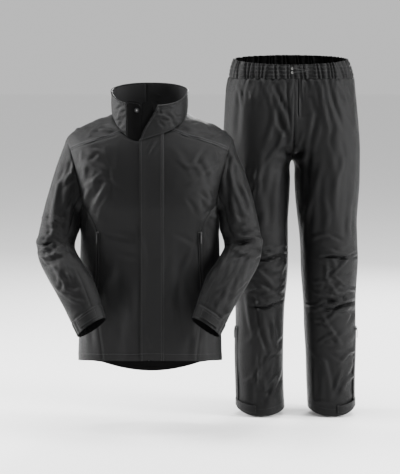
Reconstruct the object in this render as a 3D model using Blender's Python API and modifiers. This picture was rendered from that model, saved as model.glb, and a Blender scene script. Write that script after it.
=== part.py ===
"""Rain suit: a jacket and a pair of trousers, each filled out as worn, with nothing inside.

Metres, +Z up, the fronts face -Y. The origin is in the jacket, between the shoulders at the level of the
neck points. The trousers stand beside the jacket and a little behind it. Right and left are the wearer's,
so the right front is at -X. Every cloth piece is a lofted sheet with a Solidify wall centred on it.
"""
import bpy
import bmesh
import numpy as np
from mathutils import Vector

# Cloth and seams
WALL = 0.0018            # coated cloth with its backing
SEAM = 0.0003            # each piece stops this far short of its seam
STEP_OUT = 0.0026        # middle of one layer to the middle of the next that lies on it

# Jacket body, one row a level: height, half width, depth to front and back, squareness,
# and how far from the centre the front and back side seams lie
BODY_COLUMNS = ("height", "half_width", "front", "back", "square", "front_seam", "back_seam")
BODY = (
    (-0.790, 0.2160, 0.122, 0.122, 2.4, 0.138, 0.150),
    (-0.716, 0.2160, 0.124, 0.123, 2.4, 0.139, 0.150),
    (-0.620, 0.2140, 0.125, 0.122, 2.3, 0.151, 0.152),
    (-0.525, 0.2110, 0.125, 0.120, 2.3, 0.161, 0.154),
    (-0.420, 0.2085, 0.126, 0.119, 2.3, 0.157, 0.157),
    (-0.330, 0.2060, 0.130, 0.123, 2.5, 0.154, 0.162),
    (-0.290, 0.2045, 0.134, 0.127, 2.8, 0.170, 0.175),
    (-0.250, 0.2045, 0.138, 0.132, 3.0, 0.198, 0.198),
)
CHEST = -0.250           # level of the underarm points, where the shoulder dome starts
CHEST_SEAM = 0.198       # side seams at that level
ARM_FLARE = 0.050        # how much wider the body is at the shoulder tip than at the chest
UNDERARM_DIP = 0.020     # how far the armhole hangs below the chest level
FRONT_HEM = -0.716
SIDE_DROP = 0.037        # how far the hem drops from a side panel's front seam to its back one
TAIL_DROP = 0.031        # how much further the back hem drops in its middle

# Shoulder ridge: distance from the centre, height
RIDGE = ((0.000, 0.018), (0.060, 0.014), (0.111, 0.006), (0.135, 0.001), (0.180, -0.017), (0.222, -0.038),
         (0.248, -0.061))
YOKE_FRONT = 50.0        # degrees up the shoulder dome from the chest, to the front yoke seam
YOKE_BACK = 150.0        # the same, over the shoulder, to the back yoke seam at the armholes
YOKE_BACK_DIP = 0.012    # how much lower that seam runs in the middle
FRONT_RISE = 0.026       # how much the dome stands up in the middle, to front and to back
BACK_RISE = 0.083
RISE_WIDTH = 0.135       # how far from the centre this reaches

# Neck and collar
NECK_WIDTH = 0.111       # half width and depths of the neck seam
NECK_FRONT = 0.1045
NECK_SKEW = 0.0060       # how much lower the open right front sags than the left one under its flap
NECK_BACK = 0.085
NECK_SQUARE = 2.5
COLLAR_COLUMNS = ("rise", "width", "front", "back")
COLLAR = (               # from the neck seam up: share of the height, sizes as shares of the seam's own
    (0.00, 1.000, 1.000, 1.000),
    (0.30, 1.014, 1.010, 1.012),
    (0.60, 1.014, 1.000, 0.990),
    (1.00, 1.009, 0.980, 0.918),
)
COLLAR_TOP_FRONT = 0.040     # heights of the collar's top edge
COLLAR_TOP_SIDE = 0.082
COLLAR_TOP_BACK = 0.101

# Right sleeve, one row a station from armhole to cuff edge: outer edge x z, inner edge x z,
# how far forward (y), half depth
SLEEVE_COLUMNS = ("outer_x", "outer_z", "inner_x", "inner_z", "forward", "depth")
SLEEVE = (
    (-0.248, -0.061, -0.204, -0.266, 0.000, 0.068),
    (-0.259, -0.094, -0.210, -0.271, -0.002, 0.068),
    (-0.274, -0.133, -0.2125, -0.279, -0.007, 0.067),
    (-0.287, -0.175, -0.2125, -0.291, -0.013, 0.065),
    (-0.301, -0.220, -0.2120, -0.307, -0.020, 0.063),
    (-0.314, -0.268, -0.2125, -0.326, -0.027, 0.060),
    (-0.325, -0.316, -0.2160, -0.347, -0.033, 0.058),
    (-0.332, -0.351, -0.222, -0.364, -0.040, 0.056),
    (-0.335, -0.375, -0.224, -0.380, -0.048, 0.054),
    (-0.331, -0.403, -0.218, -0.396, -0.060, 0.052),
    (-0.318, -0.437, -0.206, -0.412, -0.082, 0.050),
    (-0.297, -0.472, -0.189, -0.433, -0.106, 0.048),
    (-0.272, -0.512, -0.172, -0.458, -0.126, 0.046),
    (-0.247, -0.554, -0.155, -0.496, -0.143, 0.044),
    (-0.225, -0.597, -0.141, -0.538, -0.156, 0.042),
    (-0.206, -0.633, -0.127, -0.578, -0.170, 0.040),
)
CUFF_STATION = 14.0      # the cuff seam
CUFF_GATHERS = 9
CUFF_GATHER_DEPTH = 0.0022
SLEEVE_SEAM_TURN = 118.0     # degrees round from the outer edge to the sleeve's two long seams
# Folds round the sleeve: station, middle of the fold in degrees from the outer edge towards the front,
# how far it reaches each way in degrees, half width in stations, height out of the cloth
SLEEVE_FOLDS = (
    (7.75, 50.0, 95.0, 0.42, 0.0050),
    (8.45, 70.0, 90.0, 0.40, -0.0085),
    (9.25, 60.0, 85.0, 0.55, 0.0040),
    (3.40, 110.0, 60.0, 0.90, -0.0060),
    (8.30, 230.0, 60.0, 0.60, 0.0040),
)

# Trousers, one row a level: height, outer and inner edge of the right leg, inner and outer edge of the
# left leg, depth to front and back
TROUSER_COLUMNS = ("height", "right_outer", "right_inner", "left_inner", "left_outer", "front", "back")
TROUSERS = (
    (0.135, 0.244, 0.4358, 0.4362, 0.621, 0.099, 0.104),
    (0.112, 0.240, 0.4358, 0.4362, 0.625, 0.102, 0.107),
    (0.085, 0.233, 0.4358, 0.4362, 0.629, 0.108, 0.118),
    (0.010, 0.227, 0.4356, 0.4364, 0.638, 0.121, 0.135),
    (-0.066, 0.223, 0.4346, 0.4374, 0.645, 0.126, 0.142),
    (-0.110, 0.222, 0.4346, 0.4374, 0.647, 0.125, 0.141),
    (-0.137, 0.222, 0.4344, 0.4376, 0.647, 0.123, 0.138),
    (-0.150, 0.223, 0.4300, 0.4430, 0.647, 0.121, 0.135),
    (-0.179, 0.227, 0.4300, 0.4440, 0.647, 0.118, 0.130),
    (-0.254, 0.234, 0.4280, 0.4480, 0.644, 0.110, 0.118),
    (-0.330, 0.241, 0.4240, 0.4560, 0.639, 0.102, 0.108),
    (-0.405, 0.247, 0.4245, 0.4640, 0.641, 0.097, 0.101),
    (-0.443, 0.250, 0.4250, 0.4650, 0.643, 0.095, 0.098),
    (-0.481, 0.253, 0.4245, 0.4660, 0.642, 0.093, 0.095),
    (-0.556, 0.259, 0.4190, 0.4720, 0.638, 0.089, 0.092),
    (-0.600, 0.261, 0.4145, 0.4750, 0.637, 0.087, 0.091),
    (-0.669, 0.262, 0.4120, 0.4770, 0.637, 0.084, 0.089),
    (-0.763, 0.261, 0.4110, 0.4830, 0.636, 0.082, 0.087),
    (-0.839, 0.264, 0.4120, 0.4850, 0.634, 0.081, 0.085),
    (-0.930, 0.267, 0.4160, 0.4910, 0.635, 0.080, 0.083),
)
TROUSERS_Y = 0.250       # the trousers' side seams lie in this plane
CROTCH = -0.137
FRONT_CURVE = -0.020     # where the front and back rise seams start to curve under
BACK_CURVE = 0.020
LEG_HEM = -0.919
HEM_DIP = 0.018          # how much lower the hem runs at the middle of a leg's front
LEG_ROUND = 2.2          # squareness of a leg's section
FORE_SHARE = 0.53        # how far across a panel its foremost line runs

# Waistband: an elastic tunnel, gathered all round
BAND_FOOT = (0.112, 0.114, 0.128)    # heights of its seam at front, side and back
BAND_TOP = (0.155, 0.171, 0.182)     # heights of its top edge
BAND_COLUMNS = ("rise", "left", "right", "front", "back")
BAND = (                 # share of the height, its two ends, depths to front and back
    (0.00, 0.2420, 0.6240, 0.102, 0.107),
    (0.50, 0.2470, 0.6160, 0.099, 0.104),
    (1.00, 0.2560, 0.6045, 0.095, 0.100),
)
WAIST_GATHERS = 62
GATHER_COLUMNS = 3       # columns of cells a gather
GATHER_DEPTH = 0.0034

# Pleats at the knees, sewn into each leg: height of the pleat, where it is deepest as a share across the
# panel from the outer seam, how far it reaches each way, half width, height out of the cloth
KNEE_PLEATS = (
    (-0.418, 0.42, 0.44, 0.009, 0.0040),
    (-0.438, 0.45, 0.50, 0.010, -0.0060),
    (-0.456, 0.50, 0.46, 0.011, 0.0040),
    (-0.578, 0.45, 0.46, 0.010, 0.0042),
    (-0.598, 0.42, 0.48, 0.010, -0.0062),
    (-0.616, 0.40, 0.44, 0.011, 0.0036),
)

# Large soft folds of the jacket's front: from x z to x z, half width, height out of the cloth
BODY_FOLDS = (
    (-0.190, -0.300, -0.150, -0.440, 0.022, -0.0060),
    (-0.160, -0.270, -0.135, -0.380, 0.020, 0.0045),
    (0.172, -0.235, 0.196, -0.420, 0.018, 0.0045),
    (-0.100, -0.340, -0.040, -0.370, 0.022, 0.0030),
    (0.090, -0.420, 0.110, -0.640, 0.028, -0.0040),
    (-0.095, -0.480, -0.110, -0.690, 0.028, -0.0045),
    (-0.060, -0.500, -0.055, -0.700, 0.026, 0.0035),
)

# Open collar: the right end of the collar, the placket with its stud and the zip garage, as turns round the
# neck, and the slanting left end over them
COLLAR_RIGHT_END = -31.5
PLACKET_TURNS = (-31.2, -7.35)
GARAGE_TURNS = (-7.10, 3.5)
PLACKET_RISE = 0.010     # how far the placket and the garage stand above the collar's edge
LEFT_END_FOOT = -9.0     # turn of the collar's left end at the neck seam and at its top edge
LEFT_END_TOP = 8.5
LEFT_END_OUT = 0.0065    # how far the left end stands out over the placket
LINING_IN = 0.0027
STUD = (-13.2, 0.86)     # place of the stud on the placket: turn, share of the height
STUD_RADIUS = 0.0068
STUD_HEIGHT = 0.0022

# Storm flap, front zip and pocket zips
FLAP_EDGE = -0.027       # the storm flap's free edge, and the stitched seam on its other side
FLAP_SEAM = 0.044
FLAP_LIFT = 0.0023       # middle of the front's cloth to the middle of the flap's, at the stitched seam
FLAP_LOOSE = 0.0007      # how much more it stands off at its free edge and up the chest
ZIP_COLUMN = 0.45        # how far behind each front the zip's tape reaches, on the front's grid
ZIP_TOP = -0.092         # how far the front zip is closed
WELT_TOP = -0.330        # ends of the pocket zips
WELT_FOOT = -0.522
WELT_COLUMNS = (8.42, 8.98)      # where they lie on the front's grid of columns

# Tabs at the cuffs and at the legs' hems, leg zips, waist cord
CUFF_TAB_TURNS = (62.0, 128.0)
CUFF_TAB_STATIONS = (14.22, 14.80)
CUFF_TAB_LIFT = 0.0033
HEM_TAB_COLUMNS = (0.25, 3.4)
HEM_TAB_HEIGHTS = (-0.911, -0.888)
LEG_ZIP_COLUMNS = (0.15, 1.15)
LEG_ZIP_HEIGHTS = (-0.905, -0.662)
EYELETS = ((0.431, 0.1435), (0.431, 0.1315))     # x z of the waist cord's eyelets
EYELET_RADIUS = 0.0036
EYELET_HEIGHT = 0.0014
CORD_RADIUS = 0.0011
CORD_LOOP = (            # route of the cord's loop, x and z, from one eyelet to the other
    (0.4310, 0.1435), (0.4335, 0.1433), (0.4400, 0.1424), (0.4480, 0.1412), (0.4570, 0.1404),
    (0.4650, 0.1399), (0.4695, 0.1390), (0.4712, 0.1368), (0.4695, 0.1346), (0.4650, 0.1338),
    (0.4570, 0.1334), (0.4480, 0.1330), (0.4400, 0.1322), (0.4335, 0.1315), (0.4310, 0.1315),
)

# How finely the panels are lofted: neighbours share the points of their seams
BODY_ROWS = 12           # rows of cells from hem to chest
FRONT_ROWS = 6           # from the chest to the front yoke seam, and to the back one
BACK_ROWS = 3
FRONT_COLUMNS = 6        # columns of cells along the yoke seam, and along the neck seam of a front
NECK_COLUMNS = 3
BACK_COLUMNS = 12
SIDE_COLUMNS = 7         # points across a side panel
YOKE_ENDS = 7            # points along the yoke's armhole edge
COLLAR_COLUMNS_ROUND = 26
COLLAR_ROWS = (0.0, 0.33, 0.66, 1.0)
SLEEVE_ROWS = (0.0, 0.5, 1.4, 2.4, 3.4, 4.4, 5.4, 6.4, 7.1, 7.6, 8.0, 8.45, 8.85, 9.4, 10.2, 11.2, 12.2, 13.1,
               CUFF_STATION - 0.010)
CUFF_COLUMNS = 36
ARM_GAP = 0.0008         # the sleeve starts this far out from the armhole seam
SLEEVE_GAP = 0.0013       # each sleeve piece stops this far short of the long seams, which bend sharply
ARM_CLEAR = 0.0040       # the side panel stops this far below it, where the two run close together
NECK_GAP = 0.0030        # the collar stands this far above the yoke's and the fronts' neck edge


def table(rows, columns):
    """Give a table's columns by name."""
    return dict(zip(columns, np.array(rows, float).T))


def through(knots, values, at):
    """Read a smooth curve through a table's values, with no overshoot between them."""
    knots, values = np.asarray(knots, float), np.asarray(values, float)
    step = np.diff(knots)
    slope = np.diff(values) / step
    tangent = np.zeros(len(values))
    tangent[0], tangent[-1] = slope[0], slope[-1]
    before, after = slope[:-1], slope[1:]
    level = before * after > 0
    tangent[1:-1][level] = 2 * before[level] * after[level] / (before + after)[level]
    at = np.clip(np.asarray(at, float), knots[0], knots[-1])
    cell = np.clip(np.searchsorted(knots, at) - 1, 0, len(step) - 1)
    t = (at - knots[cell]) / step[cell]
    return ((2 * t ** 3 - 3 * t ** 2 + 1) * values[cell] + (t ** 3 - 2 * t ** 2 + t) * step[cell] * tangent[cell]
            + (3 * t ** 2 - 2 * t ** 3) * values[cell + 1] + (t ** 3 - t ** 2) * step[cell] * tangent[cell + 1])


def bump(distance, reach):
    """Fall smoothly from 1 at no distance to 0 at the reach."""
    return np.cos(np.clip(np.abs(distance) / reach, 0, 1) * np.pi) / 2 + 0.5


body = table(BODY, BODY_COLUMNS)
collar = table(COLLAR, COLLAR_COLUMNS)
sleeve = table(SLEEVE, SLEEVE_COLUMNS)
trousers = table(TROUSERS, TROUSER_COLUMNS)
band = table(BAND, BAND_COLUMNS)
ridge = np.array(RIDGE).T


def level(name, height):
    """Read one column of the jacket's body at a height."""
    return through(body["height"], body[name], height)


def half_depth(x, height, side):
    """Half depth of the jacket's body at a distance from its centre line."""
    share = np.clip(np.abs(x) / level("half_width", height), 0, 1)
    square = level("square", height)
    return level(side, height) * (1 - share ** square) ** (1 / square)


def front_folds(x, z):
    """How far the large folds stand out of the front at a point."""
    out = 0.0
    for x1, z1, x2, z2, width, height in BODY_FOLDS:
        along = ((x - x1) * (x2 - x1) + (z - z1) * (z2 - z1)) / ((x2 - x1) ** 2 + (z2 - z1) ** 2)
        near = np.clip(along, 0, 1)
        away = np.hypot(x - x1 - near * (x2 - x1), z - z1 - near * (z2 - z1))
        out = out + height * bump(away, 2 * width)
    return out


def low(x, z, side):
    """Point of the jacket's body below the chest, on its front or back."""
    y = half_depth(x, z, side)
    if side == "front":
        y = y + front_folds(x, z) * np.clip(y / 0.08, 0, 1)
    return np.array((x, -y if side == "front" else y, z))


def arm_edge(turn):
    """Distance of the armhole from the centre, up the shoulder dome."""
    return CHEST_SEAM + ARM_FLARE * np.sin(np.radians(turn)) ** 1.15


def dome_top(x, turn):
    """Height of the dome's ridge as a turn's section sees it."""
    rise = FRONT_RISE + (BACK_RISE - FRONT_RISE) * (1 - np.cos(np.radians(turn))) / 2
    return through(ridge[0], ridge[1], abs(x)) + rise * np.clip(1 - (x / RISE_WIDTH) ** 2, 0, 1) ** 2


def dome(x, turn):
    """Point of the shoulder dome: turn is 0 at the front chest, 90 on the ridge, 180 at the back."""
    depth = half_depth(x / arm_edge(turn) * CHEST_SEAM, CHEST, "front" if turn <= 90 else "back")
    angle = np.radians(turn)
    y = -depth * np.cos(angle)
    z = CHEST + (dome_top(x, turn) - CHEST) * np.sin(angle)
    if turn < 90:
        y -= front_folds(x, z) * np.cos(angle) * np.clip(depth / 0.08, 0, 1)
    return np.array((x, y, z))


def back_yoke_turn(share):
    """Turn of the back yoke seam, at a share of the half width: there it runs nearly level."""
    edge = arm_edge(YOKE_BACK)
    z = dome(edge, YOKE_BACK)[2] - YOKE_BACK_DIP * (1 - share ** 2)
    turn = YOKE_BACK
    for _ in range(12):
        top = dome_top(share * arm_edge(turn), turn)
        turn = 180 - np.degrees(np.arcsin((z - CHEST) / (top - CHEST)))
    return turn


def neck_depth(x, y):
    """Depth of the neck seam in front of or behind its middle."""
    return NECK_FRONT - NECK_SKEW * np.tanh(x / 0.04) if y < 0 else NECK_BACK


def in_neck(x, y):
    """Below 0 inside the neck opening, above 0 outside it."""
    return abs(x / NECK_WIDTH) ** NECK_SQUARE + abs(y / neck_depth(x, y)) ** NECK_SQUARE - 1


def neck_turn(x, y):
    """Turn of the dome over a point of the neck seam."""
    turn = 90.0
    side = "front" if y < 0 else "back"
    for _ in range(12):
        depth = half_depth(x / arm_edge(turn) * CHEST_SEAM, CHEST, side)
        turn = np.degrees(np.arccos(np.clip(-y / depth, -1, 1)))
    return turn


def halve(inside, outside, test):
    """Find where a test changes sign between two values."""
    for _ in range(30):
        middle = (inside + outside) / 2
        inside, outside = (middle, outside) if test(middle) < 0 else (inside, middle)
    return middle


def normals(grid, around=False):
    """Unit normals of a grid of points, pointing away from its middle."""
    if around:
        along = np.roll(grid, -1, 0) - np.roll(grid, 1, 0)
    else:
        along = np.gradient(grid, axis=0)
    up = np.gradient(grid, axis=1)
    out = np.cross(along, up)
    return out / np.maximum(np.linalg.norm(out, axis=2, keepdims=True), 1e-12)


def lie_on(grid, columns, rows, lift, outward):
    """Points of a strip that lies on a panel: the panel's own points, moved out."""
    faces = normals(grid)
    if np.mean(faces @ np.array(outward, float)) < 0:
        faces = -faces
    strip = np.zeros((len(columns), len(rows), 3))
    for i, column in enumerate(columns):
        for j, row in enumerate(rows):
            a, b = int(min(column, len(grid) - 1.001)), int(min(row, len(grid[0]) - 1.001))
            s, t = column - a, row - b
            for points, scale in ((grid, 1.0), (faces, lift)):
                lower = points[a, b] * (1 - s) + points[a + 1, b] * s
                upper = points[a, b + 1] * (1 - s) + points[a + 1, b + 1] * s
                strip[i, j] += (lower * (1 - t) + upper * t) * scale
    return strip


def finish(name, colour, roughness, metallic=0.0):
    """Make one material."""
    material = bpy.data.materials.new(name)
    material.use_nodes = True
    shader = material.node_tree.nodes["Principled BSDF"]
    shader.inputs["Base Color"].default_value = (*colour, 1.0)
    shader.inputs["Roughness"].default_value = roughness
    shader.inputs["Metallic"].default_value = metallic
    return material


def cloth(name, grid, material, around=False, wall=WALL):
    """Make one cloth piece: the grid's points as a sheet, with a wall centred on it."""
    shape = bmesh.new()
    points = [[shape.verts.new(point) for point in column] for column in grid]
    pairs = list(zip(points, points[1:] + points[:1] if around else points[1:]))
    for left, right in pairs:
        for j in range(len(left) - 1):
            shape.faces.new((left[j], right[j], right[j + 1], left[j + 1]))
    mesh = bpy.data.meshes.new(name)
    shape.to_mesh(mesh)
    shape.free()
    mesh.shade_smooth()
    mesh.materials.append(material)
    piece = bpy.data.objects.new(name, mesh)
    garment.objects.link(piece)
    thick = piece.modifiers.new("Wall", "SOLIDIFY")
    thick.thickness = wall
    thick.offset = 0.0
    return piece


def front_heights(x):
    """Levels of a front's rows up to the chest, from its hem."""
    hem = FRONT_HEM + 0.004 * (1 - min(abs(x) / 0.14, 1) ** 2)
    return hem + (CHEST - hem) * np.linspace(0, 1, BODY_ROWS + 1)


def front_grid(side):
    """Grid of a jacket front: columns from the zip to the side seam, rows from the hem to the yoke."""
    cross = halve(0.1, 0.6, lambda share: in_neck(*dome(side * share * arm_edge(YOKE_FRONT), YOKE_FRONT)[:2]))
    shares = np.concatenate((np.linspace(0, cross, NECK_COLUMNS + 1),
                             cross + (1 - cross) * np.linspace(0, 1, FRONT_COLUMNS + 1)[1:]))
    grid = []
    for share in shares:
        column = []
        for z in front_heights(share * 0.14):
            edge = level("front_seam", z) - SEAM
            x = 0.007 + (edge - 0.007) * share
            column.append(low(side * x, z, "front"))
        start = 0.007 / CHEST_SEAM
        shift = start + (1 - SEAM / CHEST_SEAM - start) * share

        def place(turn):
            return dome(side * shift * arm_edge(turn), turn)

        top = YOKE_FRONT - 0.10
        if in_neck(*place(top)[:2]) < 0:
            top = halve(top, 5.0, lambda turn: in_neck(*place(turn)[:2])) - 0.15
        column += [place(top * k / FRONT_ROWS) for k in range(1, FRONT_ROWS + 1)]
        grid.append(column)
    return np.array(grid)


def back_grid():
    """Grid of the jacket's back: columns from right to left, rows from the drop tail to the yoke."""
    grid = []
    for share in np.linspace(-1, 1, BACK_COLUMNS + 1):
        hem = FRONT_HEM - SIDE_DROP - TAIL_DROP * (1 - share ** 2)
        column = []
        for rise in np.linspace(0, 1, BODY_ROWS + 1):
            z = hem + (CHEST - hem) * rise
            column.append(low(share * (level("back_seam", z) - SEAM), z, "back"))
        for turn in np.linspace(180, back_yoke_turn(share) + 0.10, BACK_ROWS + 1)[1:]:
            column.append(dome(share * (arm_edge(turn) - SEAM), turn))
        grid.append(column)
    return np.array(grid)


def side_point(side, share, z):
    """Point of a side panel: share runs from its front seam round to its back seam."""
    width, square = level("half_width", z), level("square", z)
    ends = []
    for name in ("front_seam", "back_seam"):
        ends.append(np.arccos((level(name, z) / width) ** (square / 2)))
    turns = np.linspace(-ends[0], ends[1], 60)
    x = width * np.abs(np.cos(turns)) ** (2 / square)
    depth = np.where(turns < 0, level("front", z), level("back", z))
    y = depth * np.sign(turns) * np.abs(np.sin(turns)) ** (2 / square)
    run = np.concatenate(((0,), np.cumsum(np.hypot(np.diff(x), np.diff(y)))))
    at = SEAM + (run[-1] - 2 * SEAM) * share
    x, y = np.interp(at, run, x), np.interp(at, run, y)
    folded = front_folds(side * x, z) * np.clip(-y / 0.08, 0, 1)
    return np.array((side * x, y - folded, z))


def side_grid(side):
    """Grid of a side panel, from its front seam to its back seam, hem to underarm."""
    grid = []
    for share in np.linspace(0, 1, SIDE_COLUMNS):
        hem = FRONT_HEM - SIDE_DROP * share ** 1.5
        top = CHEST - UNDERARM_DIP * np.sin(np.pi * share) - ARM_CLEAR * (0.25 + 0.75 * np.sin(np.pi * share))
        rows = hem + (top - hem) * np.linspace(0, 1, BODY_ROWS + 1)
        grid.append([side_point(side, share, z) for z in rows])
    return np.array(grid)


def neck_point(turn, rise=0.0, gap=0.0):
    """Point of the neck seam, or of the collar over it: turn is 0 at the front and 180 at the back."""
    angle = np.radians(turn)
    face = "front" if np.cos(angle) > 0 else "back"
    power = 2 / NECK_SQUARE
    foot_x = NECK_WIDTH * np.sign(np.sin(angle)) * abs(np.sin(angle)) ** power
    ahead = -np.sign(np.cos(angle)) * abs(np.cos(angle)) ** power
    foot_y = neck_depth(foot_x, ahead) * ahead
    foot = dome(foot_x, neck_turn(foot_x, foot_y))[2]
    x = foot_x * through(collar["rise"], collar["width"], rise)
    y = foot_y * through(collar["rise"], collar[face], rise)
    reach = np.hypot(x, y)
    x, y = x * (1 + gap / reach), y * (1 + gap / reach)
    lean = (1 + np.cos(angle)) / 2
    if lean > 0.5:
        top = COLLAR_TOP_SIDE + (COLLAR_TOP_FRONT - COLLAR_TOP_SIDE) * np.cos(angle)
    else:
        top = COLLAR_TOP_SIDE + (COLLAR_TOP_BACK - COLLAR_TOP_SIDE) * abs(np.cos(angle)) ** 1.2
    return np.array((x, y, foot + NECK_GAP + (top - foot) * rise))


def yoke_grid():
    """Grid of the yoke: columns round the neck from the right front seam to the left, rows outwards."""
    first, last = (halve(5.0, 80.0, lambda turn: neck_turn(*neck_point(side * turn)[:2]) - YOKE_FRONT - 0.1)
                   for side in (-1, 1))
    arm = np.linspace(YOKE_FRONT + 0.1, YOKE_BACK - 0.1, YOKE_ENDS)
    across = np.linspace(-1, 1, BACK_COLUMNS + 1)[1:-1]
    outer = [(-arm_edge(turn) + SEAM, turn) for turn in arm]
    for share in across:
        turn = back_yoke_turn(share) - 0.1
        outer.append((share * (arm_edge(turn) - SEAM), turn))
    outer += [(arm_edge(turn) - SEAM, turn) for turn in arm[::-1]]
    inner = [(x, neck_turn(x, y)) for x, y, _ in (neck_point(turn) for turn in
                                                 np.linspace(-first, last - 360, len(outer)))]
    shares = np.linspace(0, 1, FRONT_COLUMNS + 1)
    return np.array([[dome(x1 + (x2 - x1) * share, turn1 + (turn2 - turn1) * share) for share in shares]
                     for (x1, turn1), (x2, turn2) in zip(inner, outer)])


def armhole(side):
    """Points of an armhole and their turns: the corners of the panels round it, from the front yoke seam
    down, under the arm, up the back and over the shoulder. Turn is 0 at the top and 180 under the arm."""
    down = np.linspace(YOKE_FRONT, 0, FRONT_ROWS + 1)
    up = np.linspace(180, YOKE_BACK, BACK_ROWS + 1)
    over = np.linspace(YOKE_BACK, YOKE_FRONT, YOKE_ENDS)[1:-1]
    line = [dome(side * arm_edge(turn), turn) for turn in down]
    line += [side_point(side, share, CHEST - UNDERARM_DIP * np.sin(np.pi * share))
             for share in np.linspace(0, 1, SIDE_COLUMNS)[1:-1]]
    line += [dome(side * arm_edge(turn), turn) for turn in np.concatenate((up, over))]
    line = np.array(line)
    step = np.linalg.norm(np.roll(line, -1, 0) - line, axis=1)
    run = np.concatenate(((0,), np.cumsum(step)))
    lowest = FRONT_ROWS + (SIDE_COLUMNS + 1) // 2 - (1 if SIDE_COLUMNS % 2 else 0)
    last = len(down) + SIDE_COLUMNS - 2 + len(up) - 1
    share = (YOKE_BACK - 90) / (YOKE_BACK - YOKE_FRONT)
    top = run[last] + (run[-1] - run[last]) * share
    front = run[lowest] + run[-1] - top
    back = top - run[lowest]
    turns = [180 * (at + run[-1] - top) / front if k <= lowest else
             360 - 180 * (top - at) / back if at <= top else 180 * (at - top) / front
             for k, at in enumerate(run[:-1])]
    return line, np.array(turns)


def sleeve_frame(side, station):
    """Middle of the sleeve's ring at a station, and its half axes outwards and forwards."""
    stations = np.arange(len(SLEEVE))

    def ends(at):
        read = {name: through(stations, sleeve[name], at) for name in SLEEVE_COLUMNS}
        outer = np.array((-side * read["outer_x"], read["forward"], read["outer_z"]))
        inner = np.array((-side * read["inner_x"], read["forward"], read["inner_z"]))
        return (outer + inner) / 2, (outer - inner) / 2, read["depth"]

    middle, outward, depth = ends(station)
    run = ends(min(station + 0.6, 15))[0] - ends(max(station - 0.6, 0))[0]
    forward = np.cross(run, outward)
    forward = forward / np.linalg.norm(forward) * depth
    return middle, outward, forward if forward[1] < 0 else -forward


def sleeve_point(side, station, turn, rest=0.0):
    """Point of the sleeve: turn is 0 at the outer edge, 90 at the front, 180 at the inner edge. The rest is
    what its armhole point stands off the first ring, which fades down the upper arm."""
    angle = np.radians(turn)
    middle, outward, forward = sleeve_frame(side, station)
    power = 2 / 2.2
    across = np.sign(np.cos(angle)) * abs(np.cos(angle)) ** power
    ahead = np.sign(np.sin(angle)) * abs(np.sin(angle)) ** power
    out = 0.0
    for at, about, reach, width, height in SLEEVE_FOLDS:
        apart = (turn - about + 180) % 360 - 180
        out += height * bump(apart, reach) * bump(station - at, 2 * width)
    return middle + (outward * across + forward * ahead) * (1 + out / 0.055) + rest * bump(station, 4.5)


def sleeve_grids(side):
    """Grids of a sleeve's upper and under piece."""
    line, turns = armhole(side)
    rests = [point - sleeve_point(side, 0.0, turn) for point, turn in zip(line, turns)]
    whole = []
    for turn, rest in zip(turns, rests):
        column = [sleeve_point(side, station, turn, rest) for station in SLEEVE_ROWS]
        away = column[1] - column[0]
        column[0] = column[0] + away / np.linalg.norm(away) * ARM_GAP
        whole.append(column)
    whole = np.array(whole)
    order = np.argsort(turns)
    whole, turns = whole[order], turns[order]
    first = int(np.argmin(abs(turns - SLEEVE_SEAM_TURN)))
    second = int(np.argmin(abs(turns - 360 + SLEEVE_SEAM_TURN)))
    upper = np.concatenate((whole[second:], whole[:first + 1]))
    under = whole[first:second + 1].copy()
    for grid in (upper, under):
        for edge, beside in ((0, 1), (-1, -2)):
            away = grid[beside] - grid[edge]
            grid[edge] += away / np.linalg.norm(away, axis=1, keepdims=True) * SLEEVE_GAP
    return upper, under


def cuff_grid(side):
    """Grid of a cuff, gathered on its elastic at the outer back."""
    grid = []
    for k in range(CUFF_COLUMNS):
        turn = 360 * k / CUFF_COLUMNS
        gather = np.cos(np.radians(turn) * CUFF_GATHERS * 2) * bump((turn + 20 + 180) % 360 - 180, 120)
        column = []
        for station in (CUFF_STATION + 0.010, CUFF_STATION + 0.5, CUFF_STATION + 1):
            middle = sleeve_frame(side, station)[0]
            point = sleeve_point(side, station, turn)
            way = (point - middle) / np.linalg.norm(point - middle)
            column.append(point + way * CUFF_GATHER_DEPTH * gather)
        grid.append(column)
    return np.array(grid)


def three(values, angle):
    """Blend front, side and back values round a ring: angle is 0 at the front."""
    front, side, back = values
    share = np.cos(angle)
    return side + (front - side) * share ** 2 if share > 0 else side + (back - side) * share ** 2


def leg_point(leg, face, share, z):
    """Point of a leg panel: share runs from the outer seam to the inner edge."""
    read = {name: through(-trousers["height"][:], trousers[name], -z) for name in TROUSER_COLUMNS}
    outer, inner = read[leg + "_outer"], read[leg + "_inner"]
    sign = -1 if face == "front" else 1
    depth = read[face]
    start = FRONT_CURVE if face == "front" else BACK_CURVE
    if z >= start:
        edge = depth
    elif z > CROTCH:
        edge = depth * np.sqrt(1 - ((start - z) / (start - CROTCH)) ** 2)
    else:
        edge = 0.0
    gap = SEAM if leg == "right" else -SEAM
    outer, inner = outer + gap * 0.5, inner - gap * 0.5
    fore = outer + (inner - outer) * FORE_SHARE
    power = 2 / LEG_ROUND
    if share < FORE_SHARE:
        angle = np.pi / 2 * share / FORE_SHARE
        x = fore + (outer - fore) * np.cos(angle) ** power
        y = depth * np.sin(angle) ** power
    else:
        angle = np.pi / 2 * (share - FORE_SHARE) / (1 - FORE_SHARE)
        x = fore + (inner - fore) * np.sin(angle) ** power
        y = edge + (depth - edge) * np.cos(angle) ** power
    out = sum(height * bump(z - at, 2 * width) * bump(share - about, reach)
              for at, about, reach, width, height in KNEE_PLEATS)
    if face == "back":
        out *= -0.35
    across = np.clip(np.sin(np.pi * share), 0, 1) ** 0.5
    y = max(y + out * across, 0.0) + SEAM * 1.5
    return np.array((x, TROUSERS_Y + sign * y, z))


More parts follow.
